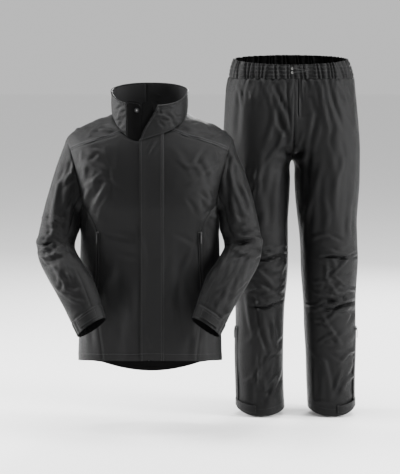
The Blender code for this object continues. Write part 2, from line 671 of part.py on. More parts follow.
LEG_ROWS = (0.112, 0.088, 0.050, 0.005, -0.040, -0.078, -0.105, -0.124, -0.136, -0.152, -0.200, -0.262, -0.325,
            -0.380, -0.418, -0.438, -0.456, -0.500, -0.545, -0.578, -0.598, -0.616, -0.660, -0.740, -0.830,
            LEG_HEM)


def leg_grid(leg, face):
    """Grid of a leg panel: columns from the outer seam to the inner edge, rows from the waist down."""
    centre = (trousers["right_outer"].min() + trousers["left_outer"].max()) / 2
    grid = []
    for share in np.concatenate((np.linspace(0, FORE_SHARE, 5), np.linspace(FORE_SHARE, 1, 5)[1:])):
        column = []
        for z in LEG_ROWS:
            point = leg_point(leg, face, share, z)
            if face == "front":
                point[2] -= HEM_DIP * np.sin(np.pi * share) ** 2 * np.clip((z + 0.60) / (LEG_HEM + 0.60), 0, 1) ** 2
            if z > 0:
                angle = np.arctan2(abs(point[0] - centre) / 0.19, (TROUSERS_Y - point[1]) / 0.10)
                lift = three(BAND_FOOT, angle) - BAND_FOOT[0] - SEAM
                point[2] += lift * (z / LEG_ROWS[0])
            column.append(point)
        grid.append(column)
    return np.array(grid)


def waist_ring(rise):
    """Fine line round the waistband at a share of its height, from the front middle: x, y and arc length.
    Like the two legs under it, it is straight in the middle and round at its ends."""
    read = {name: through(band["rise"], band[name], rise) for name in BAND_COLUMNS}
    half = (read["right"] - read["left"]) / 2
    middle = (read["right"] + read["left"]) / 2
    angle = np.radians(np.linspace(0, 90, 40))
    power = 2 / LEG_ROUND
    x = np.concatenate(((0,), half * (1 - FORE_SHARE + FORE_SHARE * np.sin(angle) ** power)))
    y = np.concatenate(((1,), np.clip(np.cos(angle), 0, 1) ** power))
    x = np.concatenate((x, x[-2::-1], -x[1:], -x[-2::-1]))
    y = np.concatenate((-y * read["front"], y[-2::-1] * read["back"], y[1:] * read["back"],
                        -y[-2::-1] * read["front"]))
    run = np.concatenate(((0,), np.cumsum(np.hypot(np.diff(x), np.diff(y)))))
    return x + middle, y, run, middle


def band_grid():
    """Grid of the waistband, gathered on its elastic: columns round from the front, rows up."""
    grid = []
    rings = [(rise, waist_ring(rise)) for rise in (0.0, 0.5, 1.0)]
    for k in range(GATHER_COLUMNS * WAIST_GATHERS):
        share = k / (GATHER_COLUMNS * WAIST_GATHERS)
        column = []
        for rise, (x, y, run, middle) in rings:
            at = np.interp(share * run[-1], run, x) - middle, np.interp(share * run[-1], run, y)
            turn = np.arctan2(abs(at[0]) / 0.19, -at[1] / 0.10)
            wave = np.cos(WAIST_GATHERS * 2 * np.pi * share) * (0.75 + 0.25 * np.sin(31.4 * share + 1.0))
            wide = GATHER_DEPTH * wave * (0.55 if rise == 0.0 else 1.0 if rise == 0.5 else 0.8)
            wide *= 1 - 0.9 * bump(min(share, 1 - share), 0.05)
            out = np.array(at) * (1.0, 2.5)
            out = out / np.linalg.norm(out) * wide
            foot, top = three(BAND_FOOT, turn) + 3 * SEAM, three(BAND_TOP, turn)
            column.append((middle + at[0] + out[0], TROUSERS_Y + at[1] + out[1], foot + (top - foot) * rise))
        grid.append(column)
    return np.array(grid)


def collar_grid(columns, rises, inside=0.0):
    """Grid of the collar or its lining: from the right end round the back to the slanting left end, rows up."""
    grid = []
    for share in np.linspace(0, 1, COLLAR_COLUMNS_ROUND + 1)[columns]:
        column = []
        for rise in rises:
            last = 360 - LEFT_END_FOOT - (LEFT_END_TOP - LEFT_END_FOOT) * rise
            turn = -COLLAR_RIGHT_END + (last + COLLAR_RIGHT_END) * share
            out = LEFT_END_OUT * bump(max(360 - turn, 0), 75)
            column.append(neck_point(-turn, rise, out - inside))
        grid.append(column)
    return np.array(grid)


def band_in(turns, rises, taller, round_by):
    """Grid of the placket or the zip garage, over a range of turns round the neck, with rounded top corners."""
    grid = []
    for share in np.linspace(0, 1, turns[2]):
        turn = turns[0] + (turns[1] - turns[0]) * share
        inward = np.clip(abs(2 * share - 1) * 1.6 - 0.6, 0, 1)
        drop = round_by * (1 - np.sqrt(1 - inward ** 2))
        grid.append([neck_point(turn, rise) + np.array((0, 0, (taller - drop) * rise)) for rise in rises])
    return np.array(grid)


def flap_grid():
    """Grid of the storm flap: its columns stand over the fronts, from its free edge to its stitched seam."""
    grid = []
    for x in np.linspace(FLAP_EDGE, FLAP_SEAM, 5):
        lift = FLAP_LIFT + FLAP_LOOSE * (FLAP_SEAM - x) / (FLAP_SEAM - FLAP_EDGE)
        column = [low(x, z, "front") + np.array((0, -lift, 0)) for z in front_heights(x)]
        column[0][2] += 0.002
        top = halve(60.0, 5.0, lambda turn: in_neck(*dome(x, turn)[:2])) - 0.4
        for k in range(1, FRONT_ROWS + 1):
            turn = top * k / FRONT_ROWS
            angle = np.radians(turn) * 0.8
            column.append(dome(x, turn) + (lift + FLAP_LOOSE) * np.array((0, -np.cos(angle), np.sin(angle))))
        grid.append(column)
    return np.array(grid)


def steps(start, end):
    """Grid numbers from start to end: the two ends and every whole number between them."""
    return [start, *range(int(np.floor(start)) + 1, int(np.ceil(end))), end]


def zip_grid(right, left):
    """Grid of the front zip's tape, behind the two fronts' edges."""
    rows = [row for row in range(len(left[0])) if left[0][row][2] < ZIP_TOP]
    strips = [lie_on(front, (0.0, ZIP_COLUMN), rows, -STEP_OUT, (0, -1, 0)) for front in (right, left)]
    return np.concatenate((strips[0][::-1], strips[1]))


def cuff_tab_grid(side):
    """Grid of a cuff's tab, lying round the cuff."""
    grid = []
    for turn in np.linspace(*CUFF_TAB_TURNS, 8):
        column = []
        for station in np.linspace(*CUFF_TAB_STATIONS, 3):
            middle = sleeve_frame(side, station)[0]
            point = sleeve_point(side, station, turn)
            column.append(point + (point - middle) / np.linalg.norm(point - middle) * CUFF_TAB_LIFT)
        grid.append(column)
    return np.array(grid)


def row_of(z):
    """Where a height falls among a leg's rows, as a row number with a fraction."""
    return np.interp(-z, -np.array(LEG_ROWS), np.arange(len(LEG_ROWS)))


def ring_of(z):
    """Depth of the waistband's front at a height."""
    foot, top = BAND_FOOT[0], BAND_TOP[0]
    return TROUSERS_Y - through(band["rise"], band["front"], (z - foot) / (top - foot))


def button(name, point, way, radius, height, material):
    """Make a round stud or eyelet: a short cone frustum set square on the cloth."""
    shape = bmesh.new()
    bmesh.ops.create_cone(shape, cap_ends=True, segments=20, radius1=radius, radius2=radius * 0.72, depth=height)
    mesh = bpy.data.meshes.new(name)
    shape.to_mesh(mesh)
    shape.free()
    mesh.shade_smooth()
    mesh.set_sharp_from_angle(angle=0.6)
    mesh.materials.append(material)
    piece = bpy.data.objects.new(name, mesh)
    garment.objects.link(piece)
    piece.rotation_mode = "QUATERNION"
    piece.rotation_quaternion = Vector(way).to_track_quat("Z", "Y")
    piece.location = point
    return piece


def cord(name, points, radius, material):
    """Make a round cord along a route."""
    line = bpy.data.curves.new(name, "CURVE")
    line.dimensions = "3D"
    line.bevel_depth = radius
    line.bevel_resolution = 2
    line.use_fill_caps = True
    spline = line.splines.new("POLY")
    spline.points.add(len(points) - 1)
    for place, point in zip(spline.points, points):
        place.co = (*point, 1.0)
    line.materials.append(material)
    piece = bpy.data.objects.new(name, line)
    garment.objects.link(piece)
    return piece


for old in list(bpy.data.objects):
    bpy.data.objects.remove(old, do_unlink=True)
garment = bpy.data.collections.new("Rain_suit")
bpy.context.scene.collection.children.link(garment)

shell = finish("Coated_cloth", (0.022, 0.023, 0.025), 0.62)
lining = finish("Lining_cloth", (0.012, 0.012, 0.014), 0.80)
tape = finish("Zip_tape", (0.010, 0.010, 0.011), 0.75)
metal = finish("Stud_metal", (0.420, 0.420, 0.410), 0.35, 0.9)
braid = finish("Waist_cord", (0.030, 0.030, 0.032), 0.85)

fronts = {}
for side, hand in ((-1, "right"), (1, "left")):
    front = fronts[hand] = front_grid(side)
    cloth(f"jacket_front_{hand}", front, shell)
    cloth(f"jacket_side_{hand}", side_grid(side), shell)
    upper, under = sleeve_grids(side)
    cloth(f"sleeve_upper_{hand}", upper, shell)
    cloth(f"sleeve_under_{hand}", under, shell)
    cloth(f"cuff_{hand}", cuff_grid(side), shell, around=True)
    cloth(f"cuff_tab_{hand}", cuff_tab_grid(side), shell)
    ends = [(z - FRONT_HEM) / (CHEST - FRONT_HEM) * BODY_ROWS for z in (WELT_FOOT, WELT_TOP)]
    cloth(f"pocket_zip_{hand}", lie_on(front, WELT_COLUMNS, steps(*ends), STEP_OUT, (0, -1, 0)), tape)
cloth("jacket_back", back_grid(), shell)
cloth("jacket_yoke", yoke_grid(), shell)
cloth("front_zip", zip_grid(fronts["right"], fronts["left"]), tape)
cloth("storm_flap", flap_grid(), shell)
cloth("collar", collar_grid(slice(None), COLLAR_ROWS), shell)
cloth("collar_lining", collar_grid(slice(0, -2), (0.10, *COLLAR_ROWS[1:3], 0.94), LINING_IN), lining)
cloth("collar_placket", band_in((*PLACKET_TURNS, 7), COLLAR_ROWS, PLACKET_RISE, 0.012), lining)
cloth("zip_garage", band_in((*GARAGE_TURNS, 4), COLLAR_ROWS, PLACKET_RISE, 0.008), shell)
turn = np.radians(STUD[0])
way = Vector((np.sin(turn), -np.cos(turn), 0.05)).normalized()
place = Vector(neck_point(*STUD)) + way * (WALL / 2 + STUD_HEIGHT / 2 + 0.0012)
button("placket_stud", place, way, STUD_RADIUS, STUD_HEIGHT, metal)

for hand in ("right", "left"):
    for face in ("front", "back"):
        leg = leg_grid(hand, face)
        cloth(f"trouser_{face}_{hand}", leg, shell)
        if face == "front":
            rows = steps(*(row_of(z) for z in HEM_TAB_HEIGHTS[::-1]))
            cloth(f"hem_tab_{hand}", lie_on(leg, steps(*HEM_TAB_COLUMNS), rows, 2 * STEP_OUT, (0, -1, 0)), shell)
            rows = steps(*(row_of(z) for z in LEG_ZIP_HEIGHTS[::-1]))
            cloth(f"leg_zip_{hand}", lie_on(leg, steps(*LEG_ZIP_COLUMNS), rows, STEP_OUT, (0, -1, 0)), shell)
cloth("waistband", band_grid(), shell, around=True)
for name, (x, z) in zip(("eyelet_upper", "eyelet_lower"), EYELETS):
    button(name, (x, ring_of(z) - 0.0028, z), (0, -1, 0), EYELET_RADIUS, EYELET_HEIGHT, metal)
route = [(x, ring_of(z) - (0.0052 if k in (0, len(CORD_LOOP) - 1) else 0.0062), z)
         for k, (x, z) in enumerate(CORD_LOOP)]
cord("waist_cord", route, CORD_RADIUS, braid)
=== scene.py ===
"""Rain suit: a jacket and a pair of trousers in black coated cloth, filled out as worn.

Metres, +Z up, fronts to -Y. Each panel of cloth is lofted again on its solid's own form, finely enough for its
creases, and replaces that solid. Right and left are the wearer's, so the right front is at -X.
"""
import math
import bpy
import numpy as np
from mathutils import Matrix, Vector


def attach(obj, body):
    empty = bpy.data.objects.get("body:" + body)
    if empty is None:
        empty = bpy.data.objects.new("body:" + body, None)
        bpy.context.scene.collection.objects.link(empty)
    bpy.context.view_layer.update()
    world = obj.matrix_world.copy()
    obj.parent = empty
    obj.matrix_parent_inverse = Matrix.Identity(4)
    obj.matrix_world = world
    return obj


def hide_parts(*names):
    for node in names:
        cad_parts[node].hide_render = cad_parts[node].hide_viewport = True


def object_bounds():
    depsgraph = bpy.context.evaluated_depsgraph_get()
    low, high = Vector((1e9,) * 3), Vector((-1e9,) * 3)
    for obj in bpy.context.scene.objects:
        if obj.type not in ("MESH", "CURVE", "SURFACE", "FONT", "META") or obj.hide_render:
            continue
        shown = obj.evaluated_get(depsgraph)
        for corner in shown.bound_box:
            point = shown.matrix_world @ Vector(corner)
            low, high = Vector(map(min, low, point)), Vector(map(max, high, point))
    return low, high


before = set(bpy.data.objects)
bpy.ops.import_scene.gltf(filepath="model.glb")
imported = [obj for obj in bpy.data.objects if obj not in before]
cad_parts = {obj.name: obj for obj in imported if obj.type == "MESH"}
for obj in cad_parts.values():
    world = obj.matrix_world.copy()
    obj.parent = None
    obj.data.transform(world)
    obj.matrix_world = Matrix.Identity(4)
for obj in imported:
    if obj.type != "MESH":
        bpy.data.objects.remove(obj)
solid_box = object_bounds()

# Cloth and seams
WALL = 0.0018            # coated cloth with its backing
SEAM = 0.0001            # each piece stops this far short of its seam
STEP_OUT = 0.0026        # middle of one layer to the middle of the next that lies on it

# Jacket body, one row a level: height, half width, depth to front and back, squareness,
# and how far from the centre the front and back side seams lie
BODY_COLUMNS = ("height", "half_width", "front", "back", "square", "front_seam", "back_seam")
BODY = (
    (-0.790, 0.2160, 0.122, 0.122, 2.4, 0.138, 0.150),
    (-0.716, 0.2160, 0.124, 0.123, 2.4, 0.139, 0.150),
    (-0.620, 0.2140, 0.125, 0.122, 2.3, 0.151, 0.152),
    (-0.525, 0.2110, 0.125, 0.120, 2.3, 0.161, 0.154),
    (-0.420, 0.2085, 0.126, 0.119, 2.3, 0.157, 0.157),
    (-0.330, 0.2060, 0.130, 0.123, 2.5, 0.154, 0.162),
    (-0.290, 0.2045, 0.134, 0.127, 2.8, 0.170, 0.175),
    (-0.250, 0.2045, 0.138, 0.132, 3.0, 0.198, 0.198),
)
CHEST = -0.250           # level of the underarm points, where the shoulder dome starts
CHEST_SEAM = 0.198       # side seams at that level
ARM_FLARE = 0.050        # how much wider the body is at the shoulder tip than at the chest
UNDERARM_DIP = 0.020     # how far the armhole hangs below the chest level
FRONT_HEM = -0.716
SIDE_DROP = 0.037        # how far the hem drops from a side panel's front seam to its back one
TAIL_DROP = 0.031        # how much further the back hem drops in its middle

# Shoulder ridge: distance from the centre, height
RIDGE = ((0.000, 0.018), (0.060, 0.014), (0.111, 0.006), (0.135, 0.001), (0.180, -0.017), (0.222, -0.038),
         (0.248, -0.061))
YOKE_FRONT = 50.0        # degrees up the shoulder dome from the chest, to the front yoke seam
YOKE_BACK = 150.0        # the same, over the shoulder, to the back yoke seam at the armholes
YOKE_BACK_DIP = 0.012    # how much lower that seam runs in the middle
FRONT_RISE = 0.026       # how much the dome stands up in the middle, to front and to back
BACK_RISE = 0.083
RISE_WIDTH = 0.135       # how far from the centre this reaches

# Neck and collar
NECK_WIDTH = 0.111       # half width and depths of the neck seam
NECK_FRONT = 0.1045
NECK_SKEW = 0.0060       # how much lower the open right front sags than the left one under its flap
NECK_BACK = 0.085
NECK_SQUARE = 2.5
COLLAR_COLUMNS = ("rise", "width", "front", "back")
COLLAR = (               # from the neck seam up: share of the height, sizes as shares of the seam's own
    (0.00, 1.000, 1.000, 1.000),
    (0.30, 1.014, 1.010, 1.012),
    (0.60, 1.014, 1.000, 0.990),
    (1.00, 1.009, 0.980, 0.918),
)
COLLAR_TOP_FRONT = 0.040     # heights of the collar's top edge
COLLAR_TOP_SIDE = 0.082
COLLAR_TOP_BACK = 0.101

# Right sleeve, one row a station from armhole to cuff edge: outer edge x z, inner edge x z,
# how far forward (y), half depth
SLEEVE_COLUMNS = ("outer_x", "outer_z", "inner_x", "inner_z", "forward", "depth")
SLEEVE = (
    (-0.248, -0.061, -0.204, -0.266, 0.000, 0.068),
    (-0.259, -0.094, -0.210, -0.271, -0.002, 0.068),
    (-0.274, -0.133, -0.2125, -0.279, -0.007, 0.067),
    (-0.287, -0.175, -0.2125, -0.291, -0.013, 0.065),
    (-0.301, -0.220, -0.2120, -0.307, -0.020, 0.063),
    (-0.314, -0.268, -0.2125, -0.326, -0.027, 0.060),
    (-0.325, -0.316, -0.2160, -0.347, -0.033, 0.058),
    (-0.332, -0.351, -0.222, -0.364, -0.040, 0.056),
    (-0.335, -0.375, -0.224, -0.380, -0.048, 0.054),
    (-0.331, -0.403, -0.218, -0.396, -0.060, 0.052),
    (-0.318, -0.437, -0.206, -0.412, -0.082, 0.050),
    (-0.297, -0.472, -0.189, -0.433, -0.106, 0.048),
    (-0.272, -0.512, -0.172, -0.458, -0.126, 0.046),
    (-0.247, -0.554, -0.155, -0.496, -0.143, 0.044),
    (-0.225, -0.597, -0.141, -0.538, -0.156, 0.042),
    (-0.206, -0.633, -0.127, -0.578, -0.170, 0.040),
)
CUFF_STATION = 14.0      # the cuff seam
CUFF_GATHERS = 9
CUFF_GATHER_DEPTH = 0.0022
SLEEVE_SEAM_TURN = 118.0     # degrees round from the outer edge to the sleeve's two long seams
# Folds round the sleeve: station, middle of the fold in degrees from the outer edge towards the front,
# how far it reaches each way in degrees, half width in stations, height out of the cloth
SLEEVE_FOLDS = (
    (7.75, 50.0, 95.0, 0.42, 0.0050),
    (8.45, 70.0, 90.0, 0.40, -0.0085),
    (9.25, 60.0, 85.0, 0.55, 0.0040),
    (3.40, 110.0, 60.0, 0.90, -0.0060),
    (8.30, 230.0, 60.0, 0.60, 0.0040),
)

# Trousers, one row a level: height, outer and inner edge of the right leg, inner and outer edge of the
# left leg, depth to front and back
TROUSER_COLUMNS = ("height", "right_outer", "right_inner", "left_inner", "left_outer", "front", "back")
TROUSERS = (
    (0.135, 0.244, 0.4358, 0.4362, 0.621, 0.099, 0.104),
    (0.112, 0.240, 0.4358, 0.4362, 0.625, 0.102, 0.107),
    (0.085, 0.233, 0.4358, 0.4362, 0.629, 0.108, 0.118),
    (0.010, 0.227, 0.4356, 0.4364, 0.638, 0.121, 0.135),
    (-0.066, 0.223, 0.4346, 0.4374, 0.645, 0.126, 0.142),
    (-0.110, 0.222, 0.4346, 0.4374, 0.647, 0.125, 0.141),
    (-0.137, 0.222, 0.4344, 0.4376, 0.647, 0.123, 0.138),
    (-0.150, 0.223, 0.4300, 0.4430, 0.647, 0.121, 0.135),
    (-0.179, 0.227, 0.4300, 0.4440, 0.647, 0.118, 0.130),
    (-0.254, 0.234, 0.4280, 0.4480, 0.644, 0.110, 0.118),
    (-0.330, 0.241, 0.4240, 0.4560, 0.639, 0.102, 0.108),
    (-0.405, 0.247, 0.4245, 0.4640, 0.641, 0.097, 0.101),
    (-0.443, 0.250, 0.4250, 0.4650, 0.643, 0.095, 0.098),
    (-0.481, 0.253, 0.4245, 0.4660, 0.642, 0.093, 0.095),
    (-0.556, 0.259, 0.4190, 0.4720, 0.638, 0.089, 0.092),
    (-0.600, 0.261, 0.4145, 0.4750, 0.637, 0.087, 0.091),
    (-0.669, 0.262, 0.4120, 0.4770, 0.637, 0.084, 0.089),
    (-0.763, 0.261, 0.4110, 0.4830, 0.636, 0.082, 0.087),
    (-0.839, 0.264, 0.4120, 0.4850, 0.634, 0.081, 0.085),
    (-0.930, 0.267, 0.4160, 0.4910, 0.635, 0.080, 0.083),
)
TROUSERS_Y = 0.250       # the trousers' side seams lie in this plane
CROTCH = -0.137
FRONT_CURVE = -0.020     # where the front and back rise seams start to curve under
BACK_CURVE = 0.020
LEG_HEM = -0.919
HEM_DIP = 0.018          # how much lower the hem runs at the middle of a leg's front
LEG_ROUND = 2.2          # squareness of a leg's section
FORE_SHARE = 0.53        # how far across a panel its foremost line runs

# Waistband: an elastic tunnel, gathered all round
BAND_FOOT = (0.112, 0.114, 0.128)    # heights of its seam at front, side and back
BAND_TOP = (0.155, 0.171, 0.182)     # heights of its top edge
BAND_COLUMNS = ("rise", "left", "right", "front", "back")
BAND = (                 # share of the height, its two ends, depths to front and back
    (0.00, 0.2420, 0.6240, 0.102, 0.107),
    (0.50, 0.2470, 0.6160, 0.099, 0.104),
    (1.00, 0.2560, 0.6045, 0.095, 0.100),
)
WAIST_GATHERS = 62
GATHER_COLUMNS = 3       # columns of cells a gather
GATHER_DEPTH = 0.0034

KNEE_PLEATS = ()

# Large soft folds of the jacket's front: from x z to x z, half width, height out of the cloth
BODY_FOLDS = (
    (-0.190, -0.300, -0.150, -0.440, 0.022, -0.0060),
    (-0.160, -0.270, -0.135, -0.380, 0.020, 0.0045),
    (0.172, -0.235, 0.196, -0.420, 0.018, 0.0045),
    (-0.100, -0.340, -0.040, -0.370, 0.022, 0.0030),
    (0.090, -0.420, 0.110, -0.640, 0.028, -0.0040),
    (-0.095, -0.480, -0.110, -0.690, 0.028, -0.0045),
    (-0.060, -0.500, -0.055, -0.700, 0.026, 0.0035),
)

# Open collar: the right end of the collar, the placket with its stud and the zip garage, as turns round the
# neck, and the slanting left end over them
COLLAR_RIGHT_END = -31.5
PLACKET_TURNS = (-31.2, -7.35)
GARAGE_TURNS = (-7.10, 3.5)
PLACKET_RISE = 0.010     # how far the placket and the garage stand above the collar's edge
LEFT_END_FOOT = -9.0     # turn of the collar's left end at the neck seam and at its top edge
LEFT_END_TOP = 8.5
LEFT_END_OUT = 0.0065    # how far the left end stands out over the placket
LINING_IN = 0.0027
STUD = (-13.2, 0.86)     # place of the stud on the placket: turn, share of the height
STUD_RADIUS = 0.0068
STUD_HEIGHT = 0.0022

# Storm flap, front zip and pocket zips
FLAP_EDGE = -0.027       # the storm flap's free edge, and the stitched seam on its other side
FLAP_SEAM = 0.044
FLAP_LIFT = 0.0023       # middle of the front's cloth to the middle of the flap's, at the stitched seam
FLAP_LOOSE = 0.0007      # how much more it stands off at its free edge and up the chest
ZIP_COLUMN = 0.45        # how far behind each front the zip's tape reaches, on the front's grid
ZIP_TOP = -0.092         # how far the front zip is closed
WELT_TOP = -0.330        # ends of the pocket zips
WELT_FOOT = -0.522
WELT_COLUMNS = (8.42, 8.98)      # where they lie on the front's grid of columns

# Tabs at the cuffs and at the legs' hems, leg zips, waist cord
CUFF_TAB_TURNS = (62.0, 128.0)
CUFF_TAB_STATIONS = (14.22, 14.80)
CUFF_TAB_LIFT = 0.0033
HEM_TAB_COLUMNS = (0.25, 3.4)
HEM_TAB_HEIGHTS = (-0.911, -0.888)
LEG_ZIP_COLUMNS = (0.15, 1.15)
LEG_ZIP_HEIGHTS = (-0.905, -0.662)
EYELETS = ((0.431, 0.1435), (0.431, 0.1315))     # x z of the waist cord's eyelets
EYELET_RADIUS = 0.0036
EYELET_HEIGHT = 0.0014
CORD_RADIUS = 0.0011
CORD_LOOP = (            # route of the cord's loop, x and z, from one eyelet to the other
    (0.4310, 0.1435), (0.4335, 0.1433), (0.4400, 0.1424), (0.4480, 0.1412), (0.4570, 0.1404),
    (0.4650, 0.1399), (0.4695, 0.1390), (0.4712, 0.1368), (0.4695, 0.1346), (0.4650, 0.1338),
    (0.4570, 0.1334), (0.4480, 0.1330), (0.4400, 0.1322), (0.4335, 0.1315), (0.4310, 0.1315),
)

# How finely the panels are lofted: neighbours share the points of their seams
BODY_ROWS = 12           # rows of cells from hem to chest
FRONT_ROWS = 6           # from the chest to the front yoke seam, and to the back one
BACK_ROWS = 3
FRONT_COLUMNS = 6        # columns of cells along the yoke seam, and along the neck seam of a front
NECK_COLUMNS = 3
BACK_COLUMNS = 12
SIDE_COLUMNS = 7         # points across a side panel
YOKE_ENDS = 7            # points along the yoke's armhole edge
COLLAR_COLUMNS_ROUND = 26
COLLAR_ROWS = (0.0, 0.33, 0.66, 1.0)
SLEEVE_ROWS = (0.0, 0.5, 1.4, 2.4, 3.4, 4.4, 5.4, 6.4, 7.1, 7.6, 8.0, 8.45, 8.85, 9.4, 10.2, 11.2, 12.2, 13.1,
               CUFF_STATION - 0.010)
CUFF_COLUMNS = 36
ARM_GAP = 0.0002
SLEEVE_GAP = 0.0001
ARM_CLEAR = 0.0
NECK_GAP = 0.0006        # the collar's foot over the neck seam


def table(rows, columns):
    """Give a table's columns by name."""
    return dict(zip(columns, np.array(rows, float).T))


def through(knots, values, at):
    """Read a smooth curve through a table's values, with no overshoot between them."""
    knots, values = np.asarray(knots, float), np.asarray(values, float)
    step = np.diff(knots)
    slope = np.diff(values) / step
    tangent = np.zeros(len(values))
    tangent[0], tangent[-1] = slope[0], slope[-1]
    before, after = slope[:-1], slope[1:]
    level = before * after > 0
    tangent[1:-1][level] = 2 * before[level] * after[level] / (before + after)[level]
    at = np.clip(np.asarray(at, float), knots[0], knots[-1])
    cell = np.clip(np.searchsorted(knots, at) - 1, 0, len(step) - 1)
    t = (at - knots[cell]) / step[cell]
    return ((2 * t ** 3 - 3 * t ** 2 + 1) * values[cell] + (t ** 3 - 2 * t ** 2 + t) * step[cell] * tangent[cell]
            + (3 * t ** 2 - 2 * t ** 3) * values[cell + 1] + (t ** 3 - t ** 2) * step[cell] * tangent[cell + 1])


def bump(distance, reach):
    """Fall smoothly from 1 at no distance to 0 at the reach."""
    return np.cos(np.clip(np.abs(distance) / reach, 0, 1) * np.pi) / 2 + 0.5


body = table(BODY, BODY_COLUMNS)
collar = table(COLLAR, COLLAR_COLUMNS)
sleeve = table(SLEEVE, SLEEVE_COLUMNS)
trousers = table(TROUSERS, TROUSER_COLUMNS)
band = table(BAND, BAND_COLUMNS)
ridge = np.array(RIDGE).T


def level(name, height):
    """Read one column of the jacket's body at a height."""
    return through(body["height"], body[name], height)


def half_depth(x, height, side):
    """Half depth of the jacket's body at a distance from its centre line."""
    share = np.clip(np.abs(x) / level("half_width", height), 0, 1)
    square = level("square", height)
    return level(side, height) * (1 - share ** square) ** (1 / square)


def front_folds(x, z):
    """How far the large folds stand out of the front at a point."""
    out = 0.0
    for x1, z1, x2, z2, width, height in BODY_FOLDS:
        along = ((x - x1) * (x2 - x1) + (z - z1) * (z2 - z1)) / ((x2 - x1) ** 2 + (z2 - z1) ** 2)
        near = np.clip(along, 0, 1)
        away = np.hypot(x - x1 - near * (x2 - x1), z - z1 - near * (z2 - z1))
        out = out + height * bump(away, 2 * width)
    return out


def low(x, z, side):
    """Point of the jacket's body below the chest, on its front or back."""
    y = half_depth(x, z, side)
    if side == "front":
        y = y + front_folds(x, z) * np.clip(y / 0.08, 0, 1)
    return np.array((x, -y if side == "front" else y, z))


def arm_edge(turn):
    """Distance of the armhole from the centre, up the shoulder dome."""
    return CHEST_SEAM + ARM_FLARE * np.sin(np.radians(turn)) ** 1.15


def dome_top(x, turn):
    """Height of the dome's ridge as a turn's section sees it."""
    rise = FRONT_RISE + (BACK_RISE - FRONT_RISE) * (1 - np.cos(np.radians(turn))) / 2
    return through(ridge[0], ridge[1], abs(x)) + rise * np.clip(1 - (x / RISE_WIDTH) ** 2, 0, 1) ** 2


def dome(x, turn):
    """Point of the shoulder dome: turn is 0 at the front chest, 90 on the ridge, 180 at the back."""
    depth = half_depth(x / arm_edge(turn) * CHEST_SEAM, CHEST, "front" if turn <= 90 else "back")
    angle = np.radians(turn)
    y = -depth * np.cos(angle)
    z = CHEST + (dome_top(x, turn) - CHEST) * np.sin(angle)
    if turn < 90:
        y -= front_folds(x, z) * np.cos(angle) * np.clip(depth / 0.08, 0, 1)
    return np.array((x, y, z))


def back_yoke_turn(share):
    """Turn of the back yoke seam, at a share of the half width: there it runs nearly level."""
    edge = arm_edge(YOKE_BACK)
    z = dome(edge, YOKE_BACK)[2] - YOKE_BACK_DIP * (1 - share ** 2)
    turn = YOKE_BACK
    for _ in range(12):
        top = dome_top(share * arm_edge(turn), turn)
        turn = 180 - np.degrees(np.arcsin((z - CHEST) / (top - CHEST)))
    return turn


def neck_depth(x, y):
    """Depth of the neck seam in front of or behind its middle."""
    return NECK_FRONT - NECK_SKEW * np.tanh(x / 0.04) if y < 0 else NECK_BACK


def in_neck(x, y):
    """Below 0 inside the neck opening, above 0 outside it."""
    return abs(x / NECK_WIDTH) ** NECK_SQUARE + abs(y / neck_depth(x, y)) ** NECK_SQUARE - 1


def neck_turn(x, y):
    """Turn of the dome over a point of the neck seam."""
    turn = 90.0
    side = "front" if y < 0 else "back"
    for _ in range(12):
        depth = half_depth(x / arm_edge(turn) * CHEST_SEAM, CHEST, side)
        turn = np.degrees(np.arccos(np.clip(-y / depth, -1, 1)))
    return turn


def halve(inside, outside, test):
    """Find where a test changes sign between two values."""
    for _ in range(30):
        middle = (inside + outside) / 2
        inside, outside = (middle, outside) if test(middle) < 0 else (inside, middle)
    return middle


def normals(grid, around=False):
    """Unit normals of a grid of points, pointing away from its middle."""
    if around:
        along = np.roll(grid, -1, 0) - np.roll(grid, 1, 0)
    else:
        along = np.gradient(grid, axis=0)
    up = np.gradient(grid, axis=1)
    out = np.cross(along, up)
    return out / np.maximum(np.linalg.norm(out, axis=2, keepdims=True), 1e-12)


def lie_on(grid, columns, rows, lift, outward):
    """Points of a strip that lies on a panel: the panel's own points, moved out."""
    faces = normals(grid)
    if np.mean(faces @ np.array(outward, float)) < 0:
        faces = -faces
    strip = np.zeros((len(columns), len(rows), 3))
    for i, column in enumerate(columns):
        for j, row in enumerate(rows):
            a, b = int(min(column, len(grid) - 1.001)), int(min(row, len(grid[0]) - 1.001))
            s, t = column - a, row - b
            for points, scale in ((grid, 1.0), (faces, lift)):
                lower = points[a, b] * (1 - s) + points[a + 1, b] * s
                upper = points[a, b + 1] * (1 - s) + points[a + 1, b + 1] * s
                strip[i, j] += (lower * (1 - t) + upper * t) * scale
    return strip


def front_heights(x):
    """Levels of a front's rows up to the chest, from its hem."""
    hem = FRONT_HEM + 0.004 * (1 - min(abs(x) / 0.14, 1) ** 2)
    return hem + (CHEST - hem) * np.linspace(0, 1, BODY_ROWS + 1)


